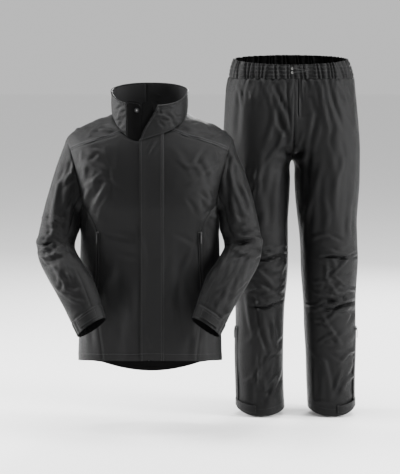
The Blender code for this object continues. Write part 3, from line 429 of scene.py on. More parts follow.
def front_grid(side):
    """Grid of a jacket front: columns from the zip to the side seam, rows from the hem to the yoke."""
    cross = halve(0.1, 0.6, lambda share: in_neck(*dome(side * share * arm_edge(YOKE_FRONT), YOKE_FRONT)[:2]))
    shares = np.concatenate((np.linspace(0, cross, NECK_COLUMNS + 1),
                             cross + (1 - cross) * np.linspace(0, 1, FRONT_COLUMNS + 1)[1:]))
    grid = []
    for share in shares:
        column = []
        for z in front_heights(share * 0.14):
            edge = level("front_seam", z) - SEAM
            x = 0.007 + (edge - 0.007) * share
            column.append(low(side * x, z, "front"))
        start = 0.007 / CHEST_SEAM
        shift = start + (1 - SEAM / CHEST_SEAM - start) * share

        def place(turn):
            return dome(side * shift * arm_edge(turn), turn)

        top = YOKE_FRONT - 0.10
        if in_neck(*place(top)[:2]) < 0:
            top = halve(top, 5.0, lambda turn: in_neck(*place(turn)[:2])) - 0.15
        column += [place(top * k / FRONT_ROWS) for k in range(1, FRONT_ROWS + 1)]
        grid.append(column)
    return np.array(grid)


def back_grid():
    """Grid of the jacket's back: columns from right to left, rows from the drop tail to the yoke."""
    grid = []
    for share in np.linspace(-1, 1, BACK_COLUMNS + 1):
        hem = FRONT_HEM - SIDE_DROP - TAIL_DROP * (1 - share ** 2)
        column = []
        for rise in np.linspace(0, 1, BODY_ROWS + 1):
            z = hem + (CHEST - hem) * rise
            column.append(low(share * (level("back_seam", z) - SEAM), z, "back"))
        for turn in np.linspace(180, back_yoke_turn(share) + 0.10, BACK_ROWS + 1)[1:]:
            column.append(dome(share * (arm_edge(turn) - SEAM), turn))
        grid.append(column)
    return np.array(grid)


def side_point(side, share, z):
    """Point of a side panel: share runs from its front seam round to its back seam."""
    width, square = level("half_width", z), level("square", z)
    ends = []
    for name in ("front_seam", "back_seam"):
        ends.append(np.arccos((level(name, z) / width) ** (square / 2)))
    turns = np.linspace(-ends[0], ends[1], 60)
    x = width * np.abs(np.cos(turns)) ** (2 / square)
    depth = np.where(turns < 0, level("front", z), level("back", z))
    y = depth * np.sign(turns) * np.abs(np.sin(turns)) ** (2 / square)
    run = np.concatenate(((0,), np.cumsum(np.hypot(np.diff(x), np.diff(y)))))
    at = SEAM + (run[-1] - 2 * SEAM) * share
    x, y = np.interp(at, run, x), np.interp(at, run, y)
    folded = front_folds(side * x, z) * np.clip(-y / 0.08, 0, 1)
    return np.array((side * x, y - folded, z))


def side_grid(side):
    """Grid of a side panel, from its front seam to its back seam, hem to underarm."""
    grid = []
    for share in np.linspace(0, 1, SIDE_COLUMNS):
        hem = FRONT_HEM - SIDE_DROP * share ** 1.5
        top = CHEST - UNDERARM_DIP * np.sin(np.pi * share) - ARM_CLEAR * (0.25 + 0.75 * np.sin(np.pi * share))
        rows = hem + (top - hem) * np.linspace(0, 1, BODY_ROWS + 1)
        grid.append([side_point(side, share, z) for z in rows])
    return np.array(grid)


def neck_point(turn, rise=0.0, gap=0.0):
    """Point of the neck seam, or of the collar over it: turn is 0 at the front and 180 at the back."""
    angle = np.radians(turn)
    face = "front" if np.cos(angle) > 0 else "back"
    power = 2 / NECK_SQUARE
    foot_x = NECK_WIDTH * np.sign(np.sin(angle)) * abs(np.sin(angle)) ** power
    ahead = -np.sign(np.cos(angle)) * abs(np.cos(angle)) ** power
    foot_y = neck_depth(foot_x, ahead) * ahead
    foot = dome(foot_x, neck_turn(foot_x, foot_y))[2]
    x = foot_x * through(collar["rise"], collar["width"], rise)
    y = foot_y * through(collar["rise"], collar[face], rise)
    reach = np.hypot(x, y)
    x, y = x * (1 + gap / reach), y * (1 + gap / reach)
    lean = (1 + np.cos(angle)) / 2
    if lean > 0.5:
        top = COLLAR_TOP_SIDE + (COLLAR_TOP_FRONT - COLLAR_TOP_SIDE) * np.cos(angle)
    else:
        top = COLLAR_TOP_SIDE + (COLLAR_TOP_BACK - COLLAR_TOP_SIDE) * abs(np.cos(angle)) ** 1.2
    return np.array((x, y, foot + NECK_GAP + (top - foot) * rise))


def yoke_grid():
    """Grid of the yoke: columns round the neck from the right front seam to the left, rows outwards."""
    first, last = (halve(5.0, 80.0, lambda turn: neck_turn(*neck_point(side * turn)[:2]) - YOKE_FRONT - 0.1)
                   for side in (-1, 1))
    arm = np.linspace(YOKE_FRONT + 0.1, YOKE_BACK - 0.1, YOKE_ENDS)
    across = np.linspace(-1, 1, BACK_COLUMNS + 1)[1:-1]
    outer = [(-arm_edge(turn) + SEAM, turn) for turn in arm]
    for share in across:
        turn = back_yoke_turn(share) - 0.1
        outer.append((share * (arm_edge(turn) - SEAM), turn))
    outer += [(arm_edge(turn) - SEAM, turn) for turn in arm[::-1]]
    inner = [(x, neck_turn(x, y)) for x, y, _ in (neck_point(turn) for turn in
                                                 np.linspace(-first, last - 360, len(outer)))]
    shares = np.linspace(0, 1, FRONT_COLUMNS + 1)
    return np.array([[dome(x1 + (x2 - x1) * share, turn1 + (turn2 - turn1) * share) for share in shares]
                     for (x1, turn1), (x2, turn2) in zip(inner, outer)])


def armhole(side):
    """Points of an armhole and their turns: the corners of the panels round it, from the front yoke seam
    down, under the arm, up the back and over the shoulder. Turn is 0 at the top and 180 under the arm."""
    down = np.linspace(YOKE_FRONT, 0, FRONT_ROWS + 1)
    up = np.linspace(180, YOKE_BACK, BACK_ROWS + 1)
    over = np.linspace(YOKE_BACK, YOKE_FRONT, YOKE_ENDS)[1:-1]
    line = [dome(side * arm_edge(turn), turn) for turn in down]
    line += [side_point(side, share, CHEST - UNDERARM_DIP * np.sin(np.pi * share))
             for share in np.linspace(0, 1, SIDE_COLUMNS)[1:-1]]
    line += [dome(side * arm_edge(turn), turn) for turn in np.concatenate((up, over))]
    line = np.array(line)
    step = np.linalg.norm(np.roll(line, -1, 0) - line, axis=1)
    run = np.concatenate(((0,), np.cumsum(step)))
    lowest = FRONT_ROWS + (SIDE_COLUMNS + 1) // 2 - (1 if SIDE_COLUMNS % 2 else 0)
    last = len(down) + SIDE_COLUMNS - 2 + len(up) - 1
    share = (YOKE_BACK - 90) / (YOKE_BACK - YOKE_FRONT)
    top = run[last] + (run[-1] - run[last]) * share
    front = run[lowest] + run[-1] - top
    back = top - run[lowest]
    turns = [180 * (at + run[-1] - top) / front if k <= lowest else
             360 - 180 * (top - at) / back if at <= top else 180 * (at - top) / front
             for k, at in enumerate(run[:-1])]
    return line, np.array(turns)


def sleeve_frame(side, station):
    """Middle of the sleeve's ring at a station, and its half axes outwards and forwards."""
    stations = np.arange(len(SLEEVE))

    def ends(at):
        read = {name: through(stations, sleeve[name], at) for name in SLEEVE_COLUMNS}
        outer = np.array((-side * read["outer_x"], read["forward"], read["outer_z"]))
        inner = np.array((-side * read["inner_x"], read["forward"], read["inner_z"]))
        return (outer + inner) / 2, (outer - inner) / 2, read["depth"]

    middle, outward, depth = ends(station)
    run = ends(min(station + 0.6, 15))[0] - ends(max(station - 0.6, 0))[0]
    forward = np.cross(run, outward)
    forward = forward / np.linalg.norm(forward) * depth
    return middle, outward, forward if forward[1] < 0 else -forward


def sleeve_point(side, station, turn, rest=0.0):
    """Point of the sleeve: turn is 0 at the outer edge, 90 at the front, 180 at the inner edge. The rest is
    what its armhole point stands off the first ring, which fades down the upper arm."""
    angle = np.radians(turn)
    middle, outward, forward = sleeve_frame(side, station)
    power = 2 / 2.2
    across = np.sign(np.cos(angle)) * abs(np.cos(angle)) ** power
    ahead = np.sign(np.sin(angle)) * abs(np.sin(angle)) ** power
    out = 0.0
    for at, about, reach, width, height in SLEEVE_FOLDS:
        apart = (turn - about + 180) % 360 - 180
        out += height * bump(apart, reach) * bump(station - at, 2 * width)
    return middle + (outward * across + forward * ahead) * (1 + out / 0.055) + rest * bump(station, 4.5)


def sleeve_grids(side):
    """Grids of a sleeve's upper and under piece."""
    line, turns = armhole(side)
    rests = [point - sleeve_point(side, 0.0, turn) for point, turn in zip(line, turns)]
    whole = []
    for turn, rest in zip(turns, rests):
        column = [sleeve_point(side, station, turn, rest) for station in SLEEVE_ROWS]
        away = column[1] - column[0]
        column[0] = column[0] + away / np.linalg.norm(away) * ARM_GAP
        whole.append(column)
    whole = np.array(whole)
    order = np.argsort(turns)
    whole, turns = whole[order], turns[order]
    first = int(np.argmin(abs(turns - SLEEVE_SEAM_TURN)))
    second = int(np.argmin(abs(turns - 360 + SLEEVE_SEAM_TURN)))
    upper = np.concatenate((whole[second:], whole[:first + 1]))
    under = whole[first:second + 1].copy()
    for grid in (upper, under):
        for edge, beside in ((0, 1), (-1, -2)):
            away = grid[beside] - grid[edge]
            grid[edge] += away / np.linalg.norm(away, axis=1, keepdims=True) * SLEEVE_GAP
    return upper, under


def cuff_grid(side):
    """Grid of a cuff, gathered on its elastic at the outer back."""
    grid = []
    for k in range(CUFF_COLUMNS):
        turn = 360 * k / CUFF_COLUMNS
        gather = np.cos(np.radians(turn) * CUFF_GATHERS * 2) * bump((turn + 20 + 180) % 360 - 180, 120)
        column = []
        for station in (CUFF_STATION + 0.010, CUFF_STATION + 0.5, CUFF_STATION + 1):
            middle = sleeve_frame(side, station)[0]
            point = sleeve_point(side, station, turn)
            way = (point - middle) / np.linalg.norm(point - middle)
            column.append(point + way * CUFF_GATHER_DEPTH * gather)
        grid.append(column)
    return np.array(grid)


def three(values, angle):
    """Blend front, side and back values round a ring: angle is 0 at the front."""
    front, side, back = values
    share = np.cos(angle)
    return side + (front - side) * share ** 2 if share > 0 else side + (back - side) * share ** 2


def leg_point(leg, face, share, z):
    """Point of a leg panel: share runs from the outer seam to the inner edge."""
    read = {name: through(-trousers["height"][:], trousers[name], -z) for name in TROUSER_COLUMNS}
    outer, inner = read[leg + "_outer"], read[leg + "_inner"]
    sign = -1 if face == "front" else 1
    depth = read[face]
    start = FRONT_CURVE if face == "front" else BACK_CURVE
    if z >= start:
        edge = depth
    elif z > CROTCH:
        edge = depth * np.sqrt(1 - ((start - z) / (start - CROTCH)) ** 2)
    else:
        edge = 0.0
    gap = SEAM if leg == "right" else -SEAM
    outer, inner = outer + gap * 0.5, inner - gap * 0.5
    fore = outer + (inner - outer) * FORE_SHARE
    power = 2 / LEG_ROUND
    if share < FORE_SHARE:
        angle = np.pi / 2 * share / FORE_SHARE
        x = fore + (outer - fore) * np.cos(angle) ** power
        y = depth * np.sin(angle) ** power
    else:
        angle = np.pi / 2 * (share - FORE_SHARE) / (1 - FORE_SHARE)
        x = fore + (inner - fore) * np.sin(angle) ** power
        y = edge + (depth - edge) * np.cos(angle) ** power
    out = sum(height * bump(z - at, 2 * width) * bump(share - about, reach)
              for at, about, reach, width, height in KNEE_PLEATS)
    if face == "back":
        out *= -0.35
    across = np.clip(np.sin(np.pi * share), 0, 1) ** 0.5
    y = max(y + out * across, 0.0) + SEAM * 1.5
    return np.array((x, TROUSERS_Y + sign * y, z))


LEG_ROWS = (0.112, 0.088, 0.050, 0.005, -0.040, -0.078, -0.105, -0.124, -0.136, -0.152, -0.200, -0.262, -0.325,
            -0.380, -0.418, -0.438, -0.456, -0.500, -0.545, -0.578, -0.598, -0.616, -0.660, -0.740, -0.830,
            LEG_HEM)


def leg_grid(leg, face):
    """Grid of a leg panel: columns from the outer seam to the inner edge, rows from the waist down."""
    centre = (trousers["right_outer"].min() + trousers["left_outer"].max()) / 2
    grid = []
    for share in np.concatenate((np.linspace(0, FORE_SHARE, 5), np.linspace(FORE_SHARE, 1, 5)[1:])):
        column = []
        for z in LEG_ROWS:
            point = leg_point(leg, face, share, z)
            if face == "front":
                point[2] -= HEM_DIP * np.sin(np.pi * share) ** 2 * np.clip((z + 0.60) / (LEG_HEM + 0.60), 0, 1) ** 2
            if z > 0:
                angle = np.arctan2(abs(point[0] - centre) / 0.19, (TROUSERS_Y - point[1]) / 0.10)
                lift = three(BAND_FOOT, angle) - BAND_FOOT[0] - SEAM
                point[2] += lift * (z / LEG_ROWS[0])
            column.append(point)
        grid.append(column)
    return np.array(grid)


def waist_ring(rise):
    """Fine line round the waistband at a share of its height, from the front middle: x, y and arc length.
    Like the two legs under it, it is straight in the middle and round at its ends."""
    read = {name: through(band["rise"], band[name], rise) for name in BAND_COLUMNS}
    half = (read["right"] - read["left"]) / 2
    middle = (read["right"] + read["left"]) / 2
    angle = np.radians(np.linspace(0, 90, 40))
    power = 2 / LEG_ROUND
    x = np.concatenate(((0,), half * (1 - FORE_SHARE + FORE_SHARE * np.sin(angle) ** power)))
    y = np.concatenate(((1,), np.clip(np.cos(angle), 0, 1) ** power))
    x = np.concatenate((x, x[-2::-1], -x[1:], -x[-2::-1]))
    y = np.concatenate((-y * read["front"], y[-2::-1] * read["back"], y[1:] * read["back"],
                        -y[-2::-1] * read["front"]))
    run = np.concatenate(((0,), np.cumsum(np.hypot(np.diff(x), np.diff(y)))))
    return x + middle, y, run, middle


def band_grid():
    """Grid of the waistband, gathered on its elastic: columns round from the front, rows up."""
    grid = []
    rings = [(rise, waist_ring(rise)) for rise in (0.0, 0.5, 1.0)]
    for k in range(GATHER_COLUMNS * WAIST_GATHERS):
        share = k / (GATHER_COLUMNS * WAIST_GATHERS)
        column = []
        for rise, (x, y, run, middle) in rings:
            at = np.interp(share * run[-1], run, x) - middle, np.interp(share * run[-1], run, y)
            turn = np.arctan2(abs(at[0]) / 0.19, -at[1] / 0.10)
            wave = np.cos(WAIST_GATHERS * 2 * np.pi * share) * (0.75 + 0.25 * np.sin(31.4 * share + 1.0))
            wide = GATHER_DEPTH * wave * (0.55 if rise == 0.0 else 1.0 if rise == 0.5 else 0.8)
            wide *= 1 - 0.9 * bump(min(share, 1 - share), 0.05)
            out = np.array(at) * (1.0, 2.5)
            out = out / np.linalg.norm(out) * wide
            foot, top = three(BAND_FOOT, turn) + 3 * SEAM, three(BAND_TOP, turn)
            column.append((middle + at[0] + out[0], TROUSERS_Y + at[1] + out[1], foot + (top - foot) * rise))
        grid.append(column)
    return np.array(grid)


def collar_grid(columns, rises, inside=0.0):
    """Grid of the collar or its lining: from the right end round the back to the slanting left end, rows up."""
    grid = []
    for share in np.linspace(0, 1, COLLAR_COLUMNS_ROUND + 1)[columns]:
        column = []
        for rise in rises:
            last = 360 - LEFT_END_FOOT - (LEFT_END_TOP - LEFT_END_FOOT) * rise
            turn = -COLLAR_RIGHT_END + (last + COLLAR_RIGHT_END) * share
            out = LEFT_END_OUT * bump(max(360 - turn, 0), 75)
            column.append(neck_point(-turn, rise, out - inside))
        grid.append(column)
    return np.array(grid)


def band_in(turns, rises, taller, round_by):
    """Grid of the placket or the zip garage, over a range of turns round the neck, with rounded top corners."""
    grid = []
    for share in np.linspace(0, 1, turns[2]):
        turn = turns[0] + (turns[1] - turns[0]) * share
        inward = np.clip(abs(2 * share - 1) * 1.6 - 0.6, 0, 1)
        drop = round_by * (1 - np.sqrt(1 - inward ** 2))
        grid.append([neck_point(turn, rise) + np.array((0, 0, (taller - drop) * rise)) for rise in rises])
    return np.array(grid)


def flap_grid():
    """Grid of the storm flap: its columns stand over the fronts, from its free edge to its stitched seam."""
    grid = []
    for x in np.linspace(FLAP_EDGE, FLAP_SEAM, 5):
        lift = FLAP_LIFT + FLAP_LOOSE * (FLAP_SEAM - x) / (FLAP_SEAM - FLAP_EDGE)
        column = [low(x, z, "front") + np.array((0, -lift, 0)) for z in front_heights(x)]
        column[0][2] += 0.002
        top = halve(60.0, 5.0, lambda turn: in_neck(*dome(x, turn)[:2])) - 0.4
        for k in range(1, FRONT_ROWS + 1):
            turn = top * k / FRONT_ROWS
            angle = np.radians(turn) * 0.8
            column.append(dome(x, turn) + (lift + FLAP_LOOSE) * np.array((0, -np.cos(angle), np.sin(angle))))
        grid.append(column)
    return np.array(grid)


def steps(start, end):
    """Grid numbers from start to end: the two ends and every whole number between them."""
    return [start, *range(int(np.floor(start)) + 1, int(np.ceil(end))), end]


def zip_grid(right, left):
    """Grid of the front zip's tape, behind the two fronts' edges."""
    rows = [row for row in range(len(left[0])) if left[0][row][2] < ZIP_TOP]
    strips = [lie_on(front, (0.0, ZIP_COLUMN), rows, -STEP_OUT, (0, -1, 0)) for front in (right, left)]
    return np.concatenate((strips[0][::-1], strips[1]))


def cuff_tab_grid(side):
    """Grid of a cuff's tab, lying round the cuff."""
    grid = []
    for turn in np.linspace(*CUFF_TAB_TURNS, 8):
        column = []
        for station in np.linspace(*CUFF_TAB_STATIONS, 3):
            middle = sleeve_frame(side, station)[0]
            point = sleeve_point(side, station, turn)
            column.append(point + (point - middle) / np.linalg.norm(point - middle) * CUFF_TAB_LIFT)
        grid.append(column)
    return np.array(grid)


def row_of(z):
    """Where a height falls among a leg's rows, as a row number with a fraction."""
    return np.interp(-z, -np.array(LEG_ROWS), np.arange(len(LEG_ROWS)))


def ring_of(z):
    """Depth of the waistband's front at a height."""
    foot, top = BAND_FOOT[0], BAND_TOP[0]
    return TROUSERS_Y - through(band["rise"], band["front"], (z - foot) / (top - foot))


# Creases as they lie in front view: points x z along each, half width, height out of the cloth
YOKE_CREASES = (
    (((-0.183, -0.019), (-0.163, -0.015), (-0.143, -0.011), (-0.125, -0.010)), 0.0048, -0.0018),
    (((-0.208, -0.028), (-0.151, -0.024), (-0.104, -0.024)), 0.0048, -0.0018),
    (((-0.178, -0.037), (-0.137, -0.040), (-0.104, -0.043)), 0.0066, -0.0016),
    (((-0.196, -0.051), (-0.154, -0.051), (-0.119, -0.048)), 0.0054, 0.0012),
    (((0.132, -0.012), (0.183, -0.020), (0.204, -0.026)), 0.0060, 0.0018),
    (((0.120, -0.024), (0.156, -0.033), (0.192, -0.045)), 0.0066, -0.0015),
    (((0.108, -0.042), (0.141, -0.051), (0.174, -0.066)), 0.0060, 0.0012),
    (((0.217, -0.037), (0.201, -0.046), (0.186, -0.057), (0.183, -0.079)), 0.0042, -0.0016),
)
FRONT_CREASES = (
    (((-0.159, -0.077), (-0.141, -0.086), (-0.135, -0.096)), 0.0054, -0.0022),
    (((-0.182, -0.093), (-0.153, -0.095)), 0.0048, 0.0016),
    (((-0.173, -0.120), (-0.153, -0.102)), 0.0054, -0.0020),
    (((-0.209, -0.118), (-0.185, -0.124), (-0.165, -0.134), (-0.115, -0.152)), 0.0090, 0.0024),
    (((-0.210, -0.087), (-0.209, -0.129)), 0.0048, -0.0020),
    (((-0.188, -0.134), (-0.191, -0.179)), 0.0060, 0.0020),
    (((-0.132, -0.176), (-0.159, -0.223), (-0.185, -0.288)), 0.0072, -0.0026),
    (((-0.147, -0.164), (-0.173, -0.205), (-0.194, -0.256)), 0.0060, 0.0022),
    (((-0.115, -0.211), (-0.141, -0.265), (-0.156, -0.341)), 0.0078, 0.0022),
    (((-0.168, -0.170), (-0.109, -0.185), (-0.079, -0.205)), 0.0066, -0.0016),
    (((0.174, -0.087), (0.153, -0.105), (0.135, -0.137)), 0.0066, -0.0024),
    (((0.198, -0.090), (0.200, -0.134)), 0.0054, 0.0020),
    (((0.209, -0.129), (0.185, -0.146), (0.162, -0.163)), 0.0060, -0.0024),
    (((0.168, -0.208), (0.188, -0.250), (0.196, -0.338), (0.197, -0.418)), 0.0078, 0.0030),
    (((0.147, -0.223), (0.168, -0.270), (0.174, -0.341)), 0.0072, -0.0022),
    (((0.109, -0.191), (0.144, -0.179), (0.174, -0.176)), 0.0078, 0.0016),
    (((-0.141, -0.333), (-0.097, -0.344), (-0.056, -0.352)), 0.0060, -0.0016),
    (((-0.006, -0.084), (0.003, -0.071), (0.015, -0.058)), 0.0036, -0.0016),
    (((0.000, -0.108), (0.012, -0.087), (0.028, -0.067)), 0.0036, -0.0016),
    (((-0.007, -0.625), (0.003, -0.670)), 0.0054, 0.0016),
    (((-0.091, -0.418), (-0.082, -0.531), (-0.088, -0.684)), 0.0120, -0.0018),
    (((-0.056, -0.472), (-0.050, -0.584), (-0.038, -0.696)), 0.0108, 0.0016),
    (((0.091, -0.377), (0.085, -0.519), (0.103, -0.678)), 0.0120, -0.0018),
    (((0.124, -0.531), (0.132, -0.619), (0.135, -0.696)), 0.0090, 0.0018),
    (((-0.173, -0.531), (-0.176, -0.619), (-0.170, -0.690)), 0.0090, -0.0020),
    (((0.185, -0.501), (0.188, -0.596), (0.182, -0.684)), 0.0090, -0.0020),
    (((0.062, -0.330), (0.103, -0.347), (0.138, -0.371)), 0.0072, -0.0013),
    (((-0.109, -0.383), (-0.073, -0.401), (-0.029, -0.406)), 0.0078, 0.0012),
)
SLEEVE_CREASES = (
    (((-0.326, -0.369), (-0.304, -0.362), (-0.279, -0.364), (-0.241, -0.388)), 0.0060, 0.0032),
    (((-0.307, -0.372), (-0.266, -0.375), (-0.230, -0.390), (-0.216, -0.402)), 0.0051, -0.0032),
    (((-0.323, -0.387), (-0.298, -0.390), (-0.271, -0.391)), 0.0078, -0.0030),
    (((-0.317, -0.406), (-0.295, -0.407), (-0.271, -0.405)), 0.0045, 0.0022),
    (((-0.301, -0.351), (-0.277, -0.360)), 0.0048, 0.0020),
    (((-0.285, -0.305), (-0.283, -0.350)), 0.0057, 0.0022),
    (((-0.253, -0.287), (-0.252, -0.350)), 0.0096, -0.0026),
    (((-0.256, -0.150), (-0.268, -0.210), (-0.271, -0.269)), 0.0096, -0.0024),
    (((-0.232, -0.186), (-0.244, -0.245), (-0.238, -0.311)), 0.0084, 0.0022),
    (((-0.292, -0.227), (-0.298, -0.275), (-0.301, -0.323)), 0.0072, -0.0018),
    (((0.227, -0.376), (0.275, -0.365), (0.319, -0.351)), 0.0060, -0.0032),
    (((0.269, -0.375), (0.301, -0.376), (0.328, -0.382)), 0.0054, -0.0026),
    (((0.245, -0.359), (0.280, -0.348), (0.310, -0.335)), 0.0066, 0.0026),
    (((0.257, -0.192), (0.277, -0.236), (0.297, -0.287)), 0.0072, -0.0026),
    (((0.269, -0.186), (0.291, -0.233), (0.307, -0.281)), 0.0060, 0.0020),
    (((0.242, -0.227), (0.254, -0.281), (0.257, -0.335)), 0.0072, 0.0022),
    (((0.230, -0.257), (0.236, -0.305), (0.233, -0.353)), 0.0066, -0.0024),
)
FOREARM_CREASES = (
    (((-0.252, -0.388), (-0.229, -0.422), (-0.201, -0.435)), 0.0054, -0.0028),
    (((-0.273, -0.417), (-0.243, -0.447), (-0.214, -0.461)), 0.0066, 0.0020),
    (((-0.255, -0.476), (-0.220, -0.488), (-0.190, -0.482)), 0.0060, -0.0018),
    (((-0.243, -0.517), (-0.214, -0.529), (-0.173, -0.526)), 0.0054, 0.0015),
    (((0.212, -0.429), (0.188, -0.467), (0.165, -0.507)), 0.0060, -0.0030),
    (((0.262, -0.380), (0.241, -0.402), (0.223, -0.426)), 0.0054, -0.0028),
    (((0.282, -0.394), (0.262, -0.423), (0.250, -0.458)), 0.0060, 0.0022),
    (((0.215, -0.522), (0.259, -0.503), (0.306, -0.464)), 0.0039, -0.0018),
    (((0.185, -0.506), (0.220, -0.488), (0.256, -0.458)), 0.0066, 0.0018),
)
TROUSER_CREASES = (
    (((0.323, 0.113), (0.306, 0.042)), 0.0072, 0.0024),
    (((0.365, 0.048), (0.398, -0.032), (0.417, -0.063), (0.397, -0.143)), 0.0078, -0.0028),
    (((0.369, 0.107), (0.395, 0.051), (0.426, -0.009)), 0.0066, -0.0024),
    (((0.346, 0.101), (0.365, 0.039), (0.383, -0.016)), 0.0066, 0.0018),
    (((0.489, 0.051), (0.506, 0.008), (0.484, -0.103), (0.475, -0.263)), 0.0078, -0.0028),
    (((0.541, 0.101), (0.558, 0.033), (0.586, -0.038)), 0.0072, -0.0024),
    (((0.569, 0.110), (0.602, 0.030)), 0.0066, 0.0024),
    (((0.515, 0.101), (0.527, 0.027), (0.540, -0.047)), 0.0072, 0.0018),
    (((0.282, 0.107), (0.267, 0.014), (0.260, -0.078)), 0.0084, -0.0020),
    (((0.405, -0.103), (0.420, -0.115), (0.429, -0.131)), 0.0045, -0.0026),
    (((0.408, -0.155), (0.420, -0.143), (0.432, -0.134)), 0.0045, -0.0022),
    (((0.432, -0.134), (0.448, -0.121), (0.469, -0.106)), 0.0045, -0.0026),
    (((0.435, -0.143), (0.451, -0.149), (0.469, -0.168)), 0.0045, 0.0020),
    (((0.414, 0.101), (0.418, 0.027), (0.428, -0.066)), 0.0045, -0.0018),
    (((0.377, -0.165), (0.365, -0.245), (0.365, -0.356)), 0.0102, -0.0022),
    (((0.552, -0.103), (0.564, -0.214), (0.561, -0.337)), 0.0108, 0.0022),
    (((0.512, -0.165), (0.518, -0.257), (0.515, -0.380)), 0.0102, -0.0020),
    (((0.291, -0.134), (0.285, -0.245), (0.294, -0.368)), 0.0108, 0.0022),
    (((0.328, -0.103), (0.331, -0.226), (0.340, -0.368)), 0.0102, 0.0016),
    (((0.598, -0.103), (0.607, -0.226), (0.601, -0.356)), 0.0090, -0.0018),
    (((0.524, -0.410), (0.555, -0.414), (0.566, -0.422)), 0.0054, 0.0026),
    (((0.564, -0.411), (0.592, -0.411)), 0.0054, 0.0022),
    (((0.549, -0.439), (0.567, -0.458), (0.566, -0.485)), 0.0054, 0.0022),
    (((0.609, -0.430), (0.589, -0.458), (0.564, -0.484)), 0.0054, 0.0024),
    (((0.539, -0.442), (0.541, -0.512), (0.578, -0.553)), 0.0057, 0.0026),
    (((0.586, -0.499), (0.612, -0.493)), 0.0048, -0.0022),
    (((0.540, -0.533), (0.567, -0.546), (0.579, -0.555)), 0.0045, 0.0022),
    (((0.497, -0.543), (0.529, -0.553), (0.569, -0.561)), 0.0051, 0.0024),
    (((0.524, -0.568), (0.552, -0.574), (0.579, -0.579)), 0.0060, -0.0030),
    (((0.579, -0.608), (0.597, -0.601), (0.625, -0.593)), 0.0054, 0.0026),
    (((0.629, -0.615), (0.607, -0.653)), 0.0054, -0.0024),
    (((0.518, -0.599), (0.543, -0.649), (0.570, -0.686), (0.586, -0.714)), 0.0060, 0.0028),
    (((0.506, -0.641), (0.546, -0.649)), 0.0048, -0.0022),
    (((0.527, -0.706), (0.584, -0.707)), 0.0051, 0.0022),
    (((0.500, -0.735), (0.537, -0.768), (0.552, -0.837), (0.555, -0.886)), 0.0072, 0.0028),
    (((0.625, -0.803), (0.592, -0.828), (0.573, -0.869)), 0.0066, -0.0028),
    (((0.512, -0.788), (0.518, -0.837), (0.515, -0.880)), 0.0072, -0.0020),
    (((0.340, -0.409), (0.374, -0.409)), 0.0054, 0.0024),
    (((0.322, -0.476), (0.352, -0.501), (0.382, -0.535)), 0.0057, 0.0028),
    (((0.303, -0.502), (0.346, -0.519), (0.383, -0.546)), 0.0066, -0.0032),
    (((0.333, -0.558), (0.377, -0.549)), 0.0051, 0.0024),
    (((0.310, -0.519), (0.322, -0.596), (0.337, -0.670), (0.371, -0.769)), 0.0069, -0.0030),
    (((0.371, -0.766), (0.362, -0.791), (0.343, -0.806)), 0.0054, -0.0022),
    (((0.291, -0.541), (0.300, -0.615), (0.316, -0.689)), 0.0066, 0.0024),
    (((0.398, -0.797), (0.371, -0.837), (0.351, -0.889)), 0.0069, -0.0026),
    (((0.313, -0.812), (0.313, -0.905)), 0.0090, -0.0022),
    (((0.340, -0.720), (0.334, -0.800), (0.340, -0.874)), 0.0072, 0.0022),
    (((0.365, -0.621), (0.383, -0.677), (0.386, -0.744)), 0.0066, 0.0018),
)


# Sewn knee pleats: a ridge of cloth with the tuck's shadow line under it
KNEE_TUCKS = (
    (((0.300, -0.426), (0.344, -0.431), (0.381, -0.424), (0.424, -0.418)), 0.0060, 0.0034),
    (((0.302, -0.441), (0.344, -0.445), (0.381, -0.438), (0.422, -0.431)), 0.0036, -0.0042),
    (((0.306, -0.578), (0.350, -0.583), (0.400, -0.569), (0.420, -0.563)), 0.0060, 0.0034),
    (((0.306, -0.592), (0.350, -0.595), (0.400, -0.579), (0.420, -0.573)), 0.0036, -0.0044),
    (((0.520, -0.426), (0.560, -0.423), (0.594, -0.425), (0.628, -0.418)), 0.0060, 0.0034),
    (((0.522, -0.439), (0.558, -0.435), (0.594, -0.440), (0.630, -0.428)), 0.0036, -0.0042),
    (((0.514, -0.589), (0.560, -0.587), (0.588, -0.575), (0.626, -0.571)), 0.0060, 0.0036),
    (((0.514, -0.602), (0.560, -0.600), (0.588, -0.588), (0.628, -0.583)), 0.0036, -0.0046),
)
FRONT_WAY = (0.0, -0.95, 0.30)
BACK_WAY = (0.0, 0.95, 0.30)
TOP_WAY = (0.0, -0.60, 0.80)

# How finely cloth is woven into the mesh
STEP = 0.0044
FINE_STEP = 0.0030
THREAD_PITCH = 0.0036
THREAD_LENGTH = 0.0026
THREAD_WIDTH = 0.00045


def spread(points, knots, at):
    """Read points at new places along their first axis, on a smooth curve through them."""
    gap = np.diff(knots)
    wide = gap[:, None, None]
    slope = np.diff(points, axis=0) / wide
    tangent = np.zeros_like(points)
    tangent[1:-1] = (slope[:-1] * wide[1:] + slope[1:] * wide[:-1]) / (wide[1:] + wide[:-1])
    tangent[0] = 1.5 * slope[0] - 0.5 * tangent[1]
    tangent[-1] = 1.5 * slope[-1] - 0.5 * tangent[-2]
    cell = np.clip(np.searchsorted(knots, at, side="right") - 1, 0, len(gap) - 1)
    t = ((at - knots[cell]) / gap[cell])[:, None, None]
    span = wide[cell]
    return ((2 * t ** 3 - 3 * t ** 2 + 1) * points[cell] + (t ** 3 - 2 * t ** 2 + t) * span * tangent[cell]
            + (3 * t ** 2 - 2 * t ** 3) * points[cell + 1] + (t ** 3 - t ** 2) * span * tangent[cell + 1])


